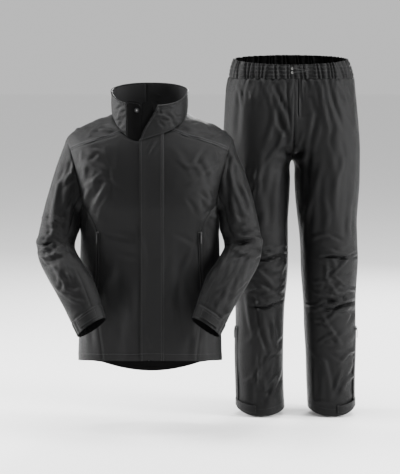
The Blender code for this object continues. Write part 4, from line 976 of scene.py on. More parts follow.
def finer(grid, step=STEP, around=False, columns=0):
    """Loft a grid again with cells of about one step each way."""
    grid = np.asarray(grid, float)
    if around:
        length = np.linalg.norm(np.roll(grid, -1, 0) - grid, axis=2).mean(1)
        knots = np.concatenate(((0,), np.cumsum(length)))
        total = knots[-1]
        padded = np.concatenate((grid[-2:], grid, grid[:3]))
        places = np.concatenate((knots[-3:-1] - total, knots, knots[1:3] + total))
        count = columns or max(int(math.ceil(total / step)), len(grid))
        grid = spread(padded, places, total * np.arange(count) / count)
    else:
        length = np.linalg.norm(np.diff(grid, axis=0), axis=2).mean(1)
        knots = np.concatenate(((0,), np.cumsum(length)))
        count = columns or max(int(math.ceil(knots[-1] / step)) + 1, 3)
        grid = spread(grid, knots, np.linspace(0, knots[-1], count))
    grid = grid.transpose(1, 0, 2)
    length = np.linalg.norm(np.diff(grid, axis=0), axis=2).mean(1)
    knots = np.concatenate(((0,), np.cumsum(length)))
    count = max(int(math.ceil(knots[-1] / step)) + 1, 3)
    return spread(grid, knots, np.linspace(0, knots[-1], count)).transpose(1, 0, 2)


def facing_out(points, guide, around=False):
    """Normals of a fine grid that point away from the body; guide is a direction, or None on a tube."""
    faces = normals(points, around)
    if guide is None:
        way = points - points.mean(axis=0, keepdims=True)
        turned = np.sum(faces * way) < 0
    else:
        turned = np.sum(faces @ np.array(guide, float)) < 0
    return (-faces if turned else faces), turned


def smooth(value, least, most):
    """Rise softly from 0 to 1 between two values."""
    t = np.clip((value - least) / (most - least), 0, 1)
    return t * t * (3 - 2 * t)


def creased(points, faces, table, way, scale=1.0):
    """How far a table's creases move a panel out, where it faces their way."""
    out = np.zeros(points.shape[:2])
    seen = smooth(faces @ np.array(way, float), 0.05, 0.40)
    if seen.max() == 0:
        return out
    flat = points[..., (0, 2)]
    for line, width, height in table:
        line = np.array(line)
        if (flat.min((0, 1)) > line.max(0) + 4 * width).any() or (flat.max((0, 1)) < line.min(0) - 4 * width).any():
            continue
        lengths = np.linalg.norm(np.diff(line, axis=0), axis=1)
        starts = np.concatenate(((0,), np.cumsum(lengths)))
        nearest = np.full(out.shape, 1e9)
        place = np.zeros(out.shape)
        for first, last, length, begin in zip(line[:-1], line[1:], lengths, starts):
            along = ((flat - first) @ (last - first)) / length ** 2
            held = np.clip(along, 0, 1)
            away = np.linalg.norm(flat - first - held[..., None] * (last - first), axis=2)
            closer = away < nearest
            nearest = np.where(closer, away, nearest)
            place = np.where(closer, begin + held * length, place)
        share = place / starts[-1]
        ends = 0.25 + 0.75 * smooth(np.minimum(share, 1 - share), 0.0, 0.30)
        q = nearest / width
        out += height * ends * (np.exp(-q ** 2) - 0.40 * np.exp(-(q - 1.9) ** 2))
    return out * seen * scale


def mirrored(table, middle, drop=0.0, keep=slice(None)):
    """The same creases turned left to right about a line, for the side that the photo doesn't show."""
    return tuple((tuple((2 * middle - x, z + drop) for x, z in line), width, height)
                 for line, width, height in table[keep])


def scatter(seed, count, low, high, tilt, sway, length, width, height):
    """Strew small creases over a part of the cloth, seen from the front: the same each run."""
    dice = np.random.default_rng(seed)
    rows = []
    for _ in range(count):
        middle = dice.uniform(low, high)
        turn = math.radians(tilt + dice.normal(0, sway))
        half = length * dice.uniform(0.3, 0.65)
        along = np.array((math.cos(turn), math.sin(turn))) * half
        bow = np.array((-along[1], along[0])) * dice.normal(0, 0.15)
        size = height * dice.uniform(0.4, 1.0) * (1 if dice.random() < 0.65 else -0.8)
        rows.append(((tuple(middle - along), tuple(middle + bow), tuple(middle + along)),
                     width * dice.uniform(0.7, 1.4), size))
    return tuple(rows)


def uneven(points, seed, length, height):
    """Slow rise and fall of hanging cloth: a few crossed waves, the same each run."""
    dice = np.random.default_rng(seed)
    out = np.zeros(points.shape[:2])
    for _ in range(7):
        way = dice.normal(size=3) * (1.0, 1.0, 0.6)
        way = way / np.linalg.norm(way) * 2 * np.pi / (length * dice.uniform(0.7, 1.5))
        out += np.sin(points @ way + dice.uniform(0, 6.28)) * dice.uniform(0.5, 1.0)
    return out * height / 2.2


def edge_runs(points, around=False):
    """Distance of each point of a grid from its four edges, measured on the cloth."""
    across = np.linalg.norm(np.diff(points, axis=0), axis=2)
    up = np.linalg.norm(np.diff(points, axis=1), axis=2)
    run = {}
    if not around:
        run["start"] = np.concatenate((np.zeros((1, points.shape[1])), np.cumsum(across, 0)))
        run["end"] = run["start"][-1:] - run["start"]
    run["foot"] = np.concatenate((np.zeros((points.shape[0], 1)), np.cumsum(up, 1)), axis=1)
    run["top"] = run["foot"][:, -1:] - run["foot"]
    return run


def follow(points, faces, edge, offset, around=False):
    """Line on a panel at one distance from an edge, with the cloth's normals along it."""
    run = edge_runs(points, around)[edge]
    line = []
    if edge in ("start", "end"):
        for j in range(points.shape[1]):
            order = slice(None) if edge == "start" else slice(None, None, -1)
            line.append([np.interp(offset, run[order, j], part[order, j, k])
                         for part in (points, faces) for k in range(3)])
    else:
        for i in range(points.shape[0]):
            order = slice(None) if edge == "foot" else slice(None, None, -1)
            line.append([np.interp(offset, run[i, order], part[i, order, k])
                         for part in (points, faces) for k in range(3)])
        if around:
            line.append(line[0])
    line = np.array(line)
    return line[:, :3], line[:, 3:]


def resampled(line, faces, pitch):
    """Points and normals at even steps along a line."""
    run = np.concatenate(((0,), np.cumsum(np.linalg.norm(np.diff(line, axis=0), axis=1))))
    at = np.arange(0, run[-1], pitch)
    read = [np.stack([np.interp(at, run, part[:, k]) for k in range(3)], 1) for part in (line, faces)]
    return read[0], read[1] / np.linalg.norm(read[1], axis=1, keepdims=True)


threads = {"jacket": [], "trousers": [], "yoke": []}


def sew(garment_name, line, faces, lift=0.0009):
    """Lay a row of stitches along a line, on top of the cloth."""
    points, ways = resampled(line, faces, THREAD_PITCH)
    if len(points) < 3:
        return
    ahead = np.gradient(points, axis=0)
    ahead = ahead / np.maximum(np.linalg.norm(ahead, axis=1, keepdims=True), 1e-9)
    threads[garment_name].append((points + ways * lift, ahead, ways))


def raw_mesh(name, vertices, faces, materials, shade=True):
    """Make an object from vertices and faces, at the origin."""
    mesh = bpy.data.meshes.new(name)
    mesh.from_pydata([tuple(v) for v in vertices], [], [tuple(f) for f in faces])
    mesh.update()
    mesh.polygons.foreach_set("use_smooth", [shade] * len(mesh.polygons))
    for material in materials:
        mesh.materials.append(material)
    piece = bpy.data.objects.new(name, mesh)
    bpy.context.scene.collection.objects.link(piece)
    return piece


def only(piece):
    """Select one object and nothing else."""
    bpy.ops.object.select_all(action="DESELECT")
    bpy.context.view_layer.objects.active = piece
    piece.select_set(True)


def settle(piece, nodes=()):
    """Say which body a piece rides on, and hide the solids that it stands for."""
    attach(piece, "root")
    if nodes:
        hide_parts(*nodes)
    return piece


ALLOWANCE_DEPTH = 0.0042
ALLOWANCE_REACH = 0.0016


def turned_in(points, faces, u, v, edge):
    """Fold a seam allowance in along one sewn edge, so that the next panel's cloth meets it."""
    if edge in ("foot", "top"):
        swapped = turned_in(points.transpose(1, 0, 2), faces.transpose(1, 0, 2), v, u,
                            "start" if edge == "foot" else "end")
        return swapped[0].transpose(1, 0, 2), swapped[1].transpose(1, 0, 2), swapped[3], swapped[2]
    first, second = (0, 1) if edge == "start" else (-1, -2)
    away = points[first] - points[second]
    away = away / np.maximum(np.linalg.norm(away, axis=1, keepdims=True), 1e-9)
    fold = (points[first] + away * ALLOWANCE_REACH - faces[first] * ALLOWANCE_DEPTH)[None]
    if edge == "start":
        return (np.concatenate((fold, points)), np.concatenate((faces[:1], faces)),
                np.concatenate(([u[0] - ALLOWANCE_DEPTH], u)), v)
    return (np.concatenate((points, fold)), np.concatenate((faces, faces[-1:])),
            np.concatenate((u, [u[-1] + ALLOWANCE_DEPTH])), v)


def panel(name, nodes, grid, guide, material, lining=None, step=STEP, around=False, sunk=(),
          raised=(), shapes=(), seed=0, drift=0.0008, wall=0.0015, fullness=1.0, columns=0, shaper=None, loose=(), meeting=0.0):
    """Make one panel of cloth. sunk names its sewn edges; raised gives bands along edges as edge, width, height;
    shapes gives crease tables with the way that they face and a scale; loose names edges that creases reach;
    meeting moves the centre seam's allowance over to the other leg."""
    base = finer(grid, step, around, columns)
    faces, turned = facing_out(base, guide, around)
    run = edge_runs(base, around)
    width = (np.linalg.norm(np.roll(base, -1, 0) - base, axis=2).sum(0).max() if around
             else run["start"][-1].max()) * fullness
    length = run["foot"][:, -1].max()
    out = uneven(base, seed, 0.16, drift) + uneven(base, seed + 50, 0.045, drift * 0.22)
    calm = np.ones(out.shape)
    for edge in run:
        if edge not in loose:
            calm = calm * (0.15 + 0.85 * smooth(run[edge], 0.0, 0.03))
    out = out * calm
    for table, way, scale in shapes:
        out = out + creased(base, faces, table, way, scale) * (0.3 + 0.7 * calm)
    for edge in sunk:
        out = out - 0.0011 * np.exp(-(run[edge] / 0.0032) ** 2) + 0.0004 * np.exp(-((run[edge] - 0.008) / 0.004) ** 2)
    for edge, wide, height in raised:
        out = out + height * (1 - smooth(run[edge], wide - 0.0012, wide + 0.0012))
    points = base + faces * out[..., None]
    if shaper is not None:
        points = shaper(base, points, faces, run)
    body, body_faces = points, facing_out(points, guide, around)[0]
    lengths = np.concatenate(((0,), np.cumsum(np.linalg.norm(np.diff(base, axis=0), axis=2).mean(1))))
    if around:
        lengths = np.concatenate((lengths, [lengths[-1] + np.linalg.norm(base[0] - base[-1], axis=1).mean()]))
    heights = np.concatenate(((0,), np.cumsum(np.linalg.norm(np.diff(base, axis=1), axis=2).mean(0))))
    outline = points, body_faces, lengths, heights
    for edge in sunk:
        outline = turned_in(*outline, edge)
    if meeting:
        crotch_side = outline[0][-1]
        crotch_side[:, 0] += meeting * smooth(crotch_side[:, 2], CROTCH - 0.012, CROTCH - 0.004)
    points, _, u, v = outline
    n, m = points.shape[:2]
    index = np.arange(n * m).reshape(n, m)
    right = np.roll(index, -1, 0) if around else index[1:]
    left = index if around else index[:-1]
    quads = np.stack((left[:, :-1], right[:, :-1], right[:, 1:], left[:, 1:]), axis=2).reshape(-1, 4)
    i, j = np.meshgrid(np.arange(len(left)), np.arange(m - 1), indexing="ij")
    corners = np.stack((np.stack((u[i], v[j]), 2), np.stack((u[i + 1], v[j]), 2),
                        np.stack((u[i + 1], v[j + 1]), 2), np.stack((u[i], v[j + 1]), 2)), axis=2).reshape(-1, 4, 2)
    if turned:
        quads, corners = quads[:, ::-1], corners[:, ::-1]
    piece = raw_mesh(name, points.reshape(-1, 3), quads, [material, lining or material])
    layer = piece.data.uv_layers.new(name="Cloth")
    layer.data.foreach_set("uv", corners.reshape(-1))
    only(piece)
    thick = piece.modifiers.new("Wall", "SOLIDIFY")
    thick.thickness = wall
    thick.offset = 0.0
    thick.material_offset = 1
    thick.material_offset_rim = 1
    bpy.ops.object.modifier_apply(modifier="Wall")
    bpy.ops.object.shade_smooth_by_angle(angle=math.radians(50))
    settle(piece, nodes)
    cells = np.linalg.norm(np.cross(base[1:, :-1] - base[:-1, :-1], base[:-1, 1:] - base[:-1, :-1]), axis=2).sum()
    round_share = len(base) / (len(base) - 1) if around else 1
    area = min(cells * fullness * round_share, width * length)
    return body, body_faces


def rod(name, line, faces, across, up, materials, closed=False, sides=8, nodes=(), lift=0.0):
    """Make a rod of oval section along a line on the cloth: a piped lip, a rolled edge or a cord."""
    line = np.asarray(line, float)
    ahead = (np.roll(line, -1, 0) - np.roll(line, 1, 0)) if closed else np.gradient(line, axis=0)
    ahead = ahead / np.maximum(np.linalg.norm(ahead, axis=1, keepdims=True), 1e-9)
    beside = np.cross(ahead, faces)
    beside = beside / np.maximum(np.linalg.norm(beside, axis=1, keepdims=True), 1e-9)
    above = np.cross(beside, ahead)
    vertices = []
    for k in range(sides):
        turn = 2 * np.pi * k / sides
        vertices.append(line + faces * lift + beside * across * np.cos(turn) + above * up * np.sin(turn))
    vertices = np.stack(vertices, 1).reshape(-1, 3)
    count = len(line)
    quads = [(i * sides + k, i * sides + (k + 1) % sides, (i + 1) % count * sides + (k + 1) % sides,
              (i + 1) % count * sides + k) for i in range(count if closed else count - 1) for k in range(sides)]
    if not closed:
        quads += [tuple(range(sides))[::-1], tuple((count - 1) * sides + k for k in range(sides))]
    piece = raw_mesh(name, vertices, quads, materials)
    only(piece)
    bpy.ops.object.mode_set(mode="EDIT")
    bpy.ops.mesh.select_all(action="SELECT")
    bpy.ops.mesh.normals_make_consistent(inside=False)
    bpy.ops.object.mode_set(mode="OBJECT")
    bpy.ops.object.shade_smooth_by_angle(angle=math.radians(50))
    return settle(piece, nodes)


def bars(name, places, ahead, ways, size, materials):
    """Make many small rounded bars as one piece: stitches, or the teeth of a zip."""
    length, width, height = size
    beside = np.cross(ahead, ways)
    beside = beside / np.maximum(np.linalg.norm(beside, axis=1, keepdims=True), 1e-9)
    rings = []
    for along, thin, low in ((-0.5, 0.55, -0.35), (0.0, 1.0, 0.10), (0.5, 0.55, -0.35)):
        middle = places + ahead * along * length + ways * low * height
        rings += [middle + beside * width * thin, middle + ways * height * thin,
                  middle - beside * width * thin, middle - ways * height * thin]
    vertices = np.stack(rings, 1).reshape(-1, 3)
    pattern = [(r * 4 + k, r * 4 + (k + 1) % 4, (r + 1) * 4 + (k + 1) % 4, (r + 1) * 4 + k)
               for r in range(2) for k in range(4)] + [(3, 2, 1, 0), (8, 9, 10, 11)]
    quads = (np.arange(len(places))[:, None, None] * 12 + np.array(pattern)).reshape(-1, 4)
    piece = raw_mesh(name, vertices, quads, materials)
    only(piece)
    bpy.ops.object.mode_set(mode="EDIT")
    bpy.ops.mesh.select_all(action="SELECT")
    bpy.ops.mesh.normals_make_consistent(inside=False)
    bpy.ops.object.mode_set(mode="OBJECT")
    return settle(piece)


def zip_teeth(name, line, faces, lift, materials):
    """Lay a coil zip's teeth along a line."""
    points, ways = resampled(line, faces, 0.0024)
    ahead = np.gradient(points, axis=0)
    ahead = ahead / np.linalg.norm(ahead, axis=1, keepdims=True)
    beside = np.cross(ahead, ways)
    beside = beside / np.linalg.norm(beside, axis=1, keepdims=True)
    return bars(name, points + ways * lift, beside, ways, (0.0046, 0.0008, 0.0010), materials)


def cushion_block(name, place, size, turn_y, turn_z, materials, rounding):
    """Make a small block with rounded edges, such as a slider's body or a pull."""
    bpy.ops.object.select_all(action="DESELECT")
    bpy.ops.mesh.primitive_cube_add(size=1, location=(0, 0, 0))
    piece = bpy.context.object
    piece.name = piece.data.name = name
    piece.scale = size
    bpy.ops.object.transform_apply(location=False, rotation=False, scale=True)
    soft = piece.modifiers.new("Edges", "BEVEL")
    soft.width = rounding
    soft.segments = 3
    bpy.ops.object.modifier_apply(modifier="Edges")
    piece.rotation_euler = (0, turn_y, turn_z)
    piece.location = place
    bpy.ops.object.transform_apply(location=True, rotation=True, scale=True)
    for material in materials:
        piece.data.materials.append(material)
    bpy.ops.object.shade_smooth_by_angle(angle=math.radians(40))
    return settle(piece)


def pressed_ring(name, node, radius, hole, height, finishes, place, way):
    """Make a stud or an eyelet: a round disc, its middle sunk and its edges rounded."""
    bpy.ops.object.select_all(action="DESELECT")
    bpy.ops.mesh.primitive_cylinder_add(vertices=40, radius=radius, depth=height, location=(0, 0, 0))
    piece = bpy.context.object
    piece.name = piece.data.name = name
    bpy.ops.object.mode_set(mode="EDIT")
    bpy.ops.mesh.select_all(action="DESELECT")
    bpy.ops.object.mode_set(mode="OBJECT")
    for face in piece.data.polygons:
        face.select = face.normal.z > 0.9
    bpy.ops.object.mode_set(mode="EDIT")
    bpy.ops.mesh.inset(thickness=radius * 0.30)
    bpy.ops.mesh.inset(thickness=radius * 0.12)
    bpy.ops.transform.translate(value=(0, 0, -height * 0.45))
    bpy.ops.mesh.inset(thickness=radius * hole)
    bpy.ops.transform.translate(value=(0, 0, height * 0.25))
    bpy.ops.object.mode_set(mode="OBJECT")
    soft = piece.modifiers.new("Edges", "BEVEL")
    soft.width = height * 0.16
    soft.segments = 2
    bpy.ops.object.modifier_apply(modifier="Edges")
    piece.rotation_mode = "QUATERNION"
    piece.rotation_quaternion = Vector(way).to_track_quat("Z", "Y")
    piece.location = place
    bpy.ops.object.transform_apply(location=True, rotation=True, scale=True)
    for finish_of in finishes:
        piece.data.materials.append(finish_of)
    middle, ahead = Vector(place), Vector(way).normalized()
    for face in piece.data.polygons:
        inward = (face.center - middle) - ahead * (face.center - middle).dot(ahead)
        face.material_index = 1 if inward.length < radius * 0.42 else 0
    bpy.ops.object.shade_smooth_by_angle(angle=math.radians(35))
    return settle(piece, (node,))


class Level:
    """A number in a material that varies over the surface."""

    def __init__(self, paint, socket):
        self.paint, self.socket = paint, socket

    def _with(self, operation, other, swapped=False):
        ends = (other, self) if swapped else (self, other)
        return self.paint.number(operation, *ends)

    def __add__(self, other):
        return self._with("ADD", other)

    __radd__ = __add__

    def __sub__(self, other):
        return self._with("SUBTRACT", other)

    def __rsub__(self, other):
        return self._with("SUBTRACT", other, True)

    def __mul__(self, other):
        return self._with("MULTIPLY", other)

    __rmul__ = __mul__

    def __truediv__(self, other):
        return self._with("DIVIDE", other)


class Paint:
    """One material and the nodes that are added to it."""

    def __init__(self, name, roughness, metallic=0.0, sheen=0.0, sheen_roughness=0.4, coat=0.0, specular=0.5):
        self.material = bpy.data.materials.new(name)
        self.material.use_nodes = True
        self.tree = self.material.node_tree
        self.shader = self.tree.nodes["Principled BSDF"]
        for socket, value in (("Roughness", roughness), ("Metallic", metallic), ("Sheen Weight", sheen),
                              ("Specular IOR Level", specular),
                              ("Sheen Roughness", sheen_roughness), ("Coat Weight", coat), ("Coat Roughness", 0.35)):
            self.shader.inputs[socket].default_value = value

    def node(self, kind, settings=None, values=None):
        """Add a node: its settings first, then its sockets' values or links."""
        added = self.tree.nodes.new(kind)
        for key, value in (settings or {}).items():
            if key == "stops":
                ramp = added.color_ramp
                for stop, (place, colour) in zip(list(ramp.elements) + [ramp.elements.new(0.5) for _ in value[2:]],
                                                 value):
                    stop.position, stop.color = place, colour
            else:
                setattr(added, key, value)
        for key, value in (values or {}).items():
            socket = added.inputs[key]
            if isinstance(value, Level):
                value = value.socket
            if isinstance(value, bpy.types.NodeSocket):
                self.tree.links.new(value, socket)
            else:
                socket.default_value = value
        return added

    def number(self, operation, first, second=0.0):
        return Level(self, self.node("ShaderNodeMath", {"operation": operation}, {0: first, 1: second}).outputs[0])

    def noise(self, vector, scale, detail=3.0, roughness=0.5):
        values = {"Vector": vector, "Scale": scale, "Detail": detail, "Roughness": roughness}
        return Level(self, self.node("ShaderNodeTexNoise", None, values).outputs[0])

    def blend(self, first, second, share):
        """Mix two colours."""
        mix = self.node("ShaderNodeMix", {"data_type": "RGBA"}, {0: share, 6: first, 7: second})
        return mix.outputs[2]

    def feed(self, socket, value):
        self.tree.links.new(value.socket if isinstance(value, Level) else value, self.shader.inputs[socket])

    def relief(self, height, distance, strength=1.0):
        bump = self.node("ShaderNodeBump", None, {"Height": height, "Distance": distance, "Strength": strength})
        self.feed("Normal", bump.outputs[0])


def grey(value, tint=(1.0, 1.0, 1.0)):
    return (value * tint[0], value * tint[1], value * tint[2], 1.0)


def coated_cloth(name, dark, light, tint, rough, sheen, weave, crinkle, gloss=0.13):
    """Woven cloth with a coating: fine plain weave, soft crinkle, cloudy tone."""
    paint = Paint(name, rough, sheen=sheen, sheen_roughness=0.45, specular=gloss)
    place = paint.node("ShaderNodeTexCoord").outputs["Object"]
    flat = paint.node("ShaderNodeUVMap", {"uv_map": "Cloth"}).outputs[0]
    across = paint.node("ShaderNodeSeparateXYZ", None, {0: flat})
    warp = paint.number("SINE", Level(paint, across.outputs[0]) * (2 * math.pi / weave))
    weft = paint.number("SINE", Level(paint, across.outputs[1]) * (2 * math.pi / weave))
    cloud = paint.noise(place, 9.0, 3.0, 0.55)
    grain = paint.noise(place, 620.0, 2.0, 0.6)
    folds = paint.noise(place, 95.0, 4.0, 0.55)
    tone = paint.number("MULTIPLY_ADD", cloud, 0.65)
    tone.socket.node.inputs[2].default_value = -0.05
    tone = tone + grain * 0.45
    paint.feed("Base Color", paint.blend(grey(dark, tint), grey(light, tint), tone))
    paint.feed("Roughness", cloud * 0.14 + grain * 0.10 + (rough - 0.12))
    paint.relief(warp * weft * 0.12 + grain * 0.25 + folds * crinkle, 0.0009, 0.9)
    return paint.material


def plain_finish(name, colour, rough, metallic=0.0, grain_scale=500.0, relief=0.0003, gloss=0.5):
    """A finish with fine grain: thread, tape, moulded or pressed parts."""
    paint = Paint(name, rough, metallic, specular=gloss)
    place = paint.node("ShaderNodeTexCoord").outputs["Object"]
    grain = paint.noise(place, grain_scale, 3.0, 0.55)
    darker = tuple(c * 0.72 for c in colour) + (1.0,)
    lighter = tuple(min(c * 1.28, 1.0) for c in colour) + (1.0,)
    paint.feed("Base Color", paint.blend(darker, lighter, grain))
    paint.feed("Roughness", grain * 0.16 + (rough - 0.08))
    paint.relief(grain, relief, 0.7)
    return paint.material


black_shell = coated_cloth("Black coated cloth", 0.0016, 0.0034, (0.98, 1.0, 1.05), 0.44, 0.02, 0.0011, 0.30)
backing = coated_cloth("Cloth backing", 0.0012, 0.0024, (1.0, 1.0, 1.04), 0.72, 0.0, 0.0016, 0.15, 0.05)
# Darker copy of the cloth for the placket and the zip garage: painted shade inside the open collar
shaded_placket_cloth = coated_cloth("Placket cloth", 0.0008, 0.0016, (1.0, 1.0, 1.04), 0.74, 0.0, 0.0016, 0.12, 0.05)
lining_cloth = coated_cloth("Collar lining", 0.0090, 0.0150, (1.0, 1.0, 1.04), 0.66, 0.01, 0.0018, 0.20)
# Lighter copy of the black thread, for the yoke's stitches only: a painted highlight where the top light falls on the
# shoulders
yoke_highlight_thread = plain_finish("Topstitch thread", (0.085, 0.086, 0.090), 0.45, grain_scale=1500.0)
thread = plain_finish("Sewing thread", (0.0050, 0.0050, 0.0054), 0.50, grain_scale=1500.0)
tape_cloth = plain_finish("Zip tape", (0.0018, 0.0018, 0.0020), 0.70, grain_scale=900.0, gloss=0.08)
teeth_plastic = plain_finish("Zip teeth", (0.005, 0.005, 0.0055), 0.38, grain_scale=300.0, gloss=0.25)
stud_steel = plain_finish("Stud metal", (0.30, 0.30, 0.29), 0.32, 0.9, 250.0, 0.0001)
dark_steel = plain_finish("Darkened metal", (0.020, 0.020, 0.021), 0.34, 0.7, 250.0, 0.0001)
pull_rubber = plain_finish("Pull tab", (0.004, 0.004, 0.0044), 0.55, grain_scale=400.0)
cord_braid = plain_finish("Waist cord", (0.0050, 0.0050, 0.0054), 0.80, grain_scale=1200.0, relief=0.0005)

# Small creases where the cloth bends or is gathered
waist_creases = scatter(101, 56, (0.235, 0.045), (0.635, 0.112), 90, 6, 0.075, 0.0034, 0.0016)
knee_creases = (scatter(102, 16, (0.29, -0.60), (0.42, -0.39), 5, 28, 0.075, 0.0046, 0.0034)
                + scatter(103, 24, (0.50, -0.63), (0.63, -0.37), 8, 30, 0.085, 0.0048, 0.0040))
shin_creases = (scatter(104, 14, (0.28, -0.88), (0.43, -0.62), 62, 26, 0.09, 0.0060, 0.0034)
                + scatter(105, 14, (0.53, -0.88), (0.67, -0.62), 40, 30, 0.09, 0.0060, 0.0036))
thigh_creases = scatter(106, 26, (0.26, -0.36), (0.62, 0.03), 84, 14, 0.14, 0.0085, 0.0032)
elbow_creases = (scatter(107, 16, (-0.335, -0.42), (-0.24, -0.28), -8, 22, 0.075, 0.0050, 0.0036)
                 + scatter(108, 16, (0.24, -0.42), (0.335, -0.28), 8, 22, 0.075, 0.0050, 0.0036))
arm_creases = (scatter(109, 14, (-0.31, -0.28), (-0.21, -0.08), 72, 14, 0.12, 0.0070, 0.0034)
               + scatter(110, 14, (0.21, -0.28), (0.31, -0.08), 108, 14, 0.12, 0.0070, 0.0034)
               + scatter(111, 16, (-0.30, -0.57), (-0.17, -0.42), 118, 16, 0.09, 0.0058, 0.0032)
               + scatter(112, 16, (0.17, -0.57), (0.30, -0.42), 62, 16, 0.09, 0.0058, 0.0032))
body_creases = (scatter(113, 12, (-0.21, -0.32), (-0.10, -0.08), 62, 18, 0.09, 0.0070, 0.0022)
                + scatter(114, 12, (0.10, -0.32), (0.21, -0.08), 118, 18, 0.09, 0.0070, 0.0022)
                + scatter(115, 16, (-0.18, -0.70), (0.18, -0.36), 84, 20, 0.13, 0.0100, 0.0018))
shoulder_creases = (scatter(116, 14, (-0.20, -0.07), (-0.08, 0.0), 18, 18, 0.07, 0.0050, 0.0024)
                    + scatter(117, 14, (0.08, -0.07), (0.20, 0.0), -18, 18, 0.07, 0.0050, 0.0024))
neck_creases = scatter(118, 46, (-0.10, -0.02), (0.09, 0.09), -28, 26, 0.050, 0.0040, 0.0034) + scatter(
    119, 16, (-0.115, -0.03), (-0.045, 0.08), 42, 20, 0.050, 0.0040, 0.0034)



def pressed(way, reach):
    """Bulge the cloth where sleeve and side touch, between the armpit and the elbow."""
    def shape(base, points, faces, run):
        z = base[..., 2]
        near = smooth(z, -0.350, -0.326) * (1 - smooth(z, -0.250, -0.215))
        return points + np.array((way * reach, 0.0, 0.0)) * (near * np.clip(faces[..., 0] * way, 0, 1))[..., None]
    return shape


# Jacket
jacket_back_creases = mirrored(FRONT_CREASES, 0.0, -0.03, slice(6, 17)) + mirrored(FRONT_CREASES, 0.0, 0.0, slice(20, 28))
sleeve_back_creases = mirrored(SLEEVE_CREASES, 0.0, -0.012)
leg_creases = waist_creases + knee_creases + shin_creases + thigh_creases
trouser_front_creases = TROUSER_CREASES + KNEE_TUCKS
trouser_back_creases = mirrored(TROUSER_CREASES, 0.436, -0.02, slice(0, 9)) + mirrored(TROUSER_CREASES, 0.436, 0.01,
                                                                                    slice(14, 48))
panels = {}
fronts = {}
for side, hand in ((-1, "right"), (1, "left")):
    fronts[hand] = front_grid(side)
    panels["front_" + hand] = panel(
        f"front_{hand}_cloth", (f"jacket_front_{hand}",), fronts[hand], (0, -1, 0), black_shell, backing,
        sunk=("end", "top"), raised=(("foot", 0.021, 0.0004),), shapes=((FRONT_CREASES + body_creases, FRONT_WAY, 1.2),),
        seed=3 + side)
    panels["side_" + hand] = panel(
        f"side_{hand}_cloth", (f"jacket_side_{hand}",), side_grid(side), (side, 0, 0), black_shell, backing,
        sunk=("start", "end", "top"), raised=(("foot", 0.021, 0.0004),),
        shapes=((FRONT_CREASES + body_creases, FRONT_WAY, 1.2), (jacket_back_creases, BACK_WAY, 1.0)), seed=7 + side, drift=0.0012,
        shaper=pressed(side, 0.0022))
    upper, under = sleeve_grids(side)
    sleeve_shapes = ((SLEEVE_CREASES + FOREARM_CREASES, FRONT_WAY, 1.4), (elbow_creases + arm_creases, FRONT_WAY, 1.0),
                     (sleeve_back_creases + elbow_creases + arm_creases, BACK_WAY, 1.0))
    panels["upper_" + hand] = panel(
        f"sleeve_upper_{hand}_cloth", (f"sleeve_upper_{hand}",), upper, (side, 0, 0.3), black_shell, backing,
        sunk=("start", "end", "foot", "top"), shapes=sleeve_shapes, seed=11 + side, drift=0.0011)
    panels["under_" + hand] = panel(
        f"sleeve_under_{hand}_cloth", (f"sleeve_under_{hand}",), under, (-side, 0, -0.3), black_shell, backing,
        sunk=("start", "end", "foot", "top"), shapes=sleeve_shapes, seed=15 + side, drift=0.0011,
        shaper=pressed(-side, 0.0036))
    panels["cuff_" + hand] = panel(
        f"cuff_{hand}_cloth", (f"cuff_{hand}",), cuff_grid(side), None, black_shell, backing, step=FINE_STEP,
        around=True, sunk=("foot",), seed=19 + side, drift=0.0004, fullness=1.15, columns=108)
    panels["cuff_tab_" + hand] = panel(
        f"cuff_tab_{hand}_cloth", (f"cuff_tab_{hand}",), cuff_tab_grid(side), (side * 0.2, -1, 0.2), black_shell,
        step=0.0022, seed=23 + side, drift=0.0001)
panels["back"] = panel("back_cloth", ("jacket_back",), back_grid(), (0, 1, 0), black_shell, backing,
                       sunk=("start", "end", "top"), raised=(("foot", 0.021, 0.0004),),
                       shapes=((jacket_back_creases + body_creases, BACK_WAY, 1.2),), seed=30)
panels["yoke"] = panel("yoke_cloth", ("jacket_yoke",), yoke_grid(), (0, 0, 1), black_shell, backing,
                       sunk=("foot", "start", "end", "top"), raised=(("start", 0.0100, 0.0003), ("end", 0.0100, 0.0003)),
                       shapes=((YOKE_CREASES + shoulder_creases, TOP_WAY, 1.3),
                               (mirrored(YOKE_CREASES + shoulder_creases, 0.0, 0.01), (0, 0.6, 0.8), 1.1)),
                       seed=31)


def loose_edge(base, points, faces, run):
    """Lift the storm flap's free edge off the front."""
    lift = 0.0024 * (1 - smooth(run["start"], 0.0, 0.022)) - 0.0022 * np.exp(-(run["start"] / 0.0030) ** 2)
    return points + faces * lift[..., None]


panels["flap"] = panel("storm_flap_cloth", ("storm_flap",), flap_grid(), (0, -1, 0), black_shell, backing,
                       step=0.0036, sunk=("end",), shapes=((FRONT_CREASES + body_creases, FRONT_WAY, 1.0),), seed=32,
                       drift=0.0008, shaper=loose_edge)
panels["collar"] = panel("collar_cloth", ("collar",), collar_grid(slice(None), COLLAR_ROWS), None, black_shell,
                         lining_cloth, step=FINE_STEP, sunk=("foot",), raised=(("top", 0.010, 0.0009),), seed=33,
                         shapes=((neck_creases, (0, -1, 0.1), 1.0), (neck_creases, (0, 1, 0.1), 1.0)), drift=0.0012)


def centre_seam(base, points, faces, run):
    """Sink the lining's seam at the middle of the back."""
    depth = 0.0022 * np.exp(-((base[..., 0] + 0.012) / 0.0026) ** 2) * (base[..., 1] > 0)
    return points + faces * depth[..., None]


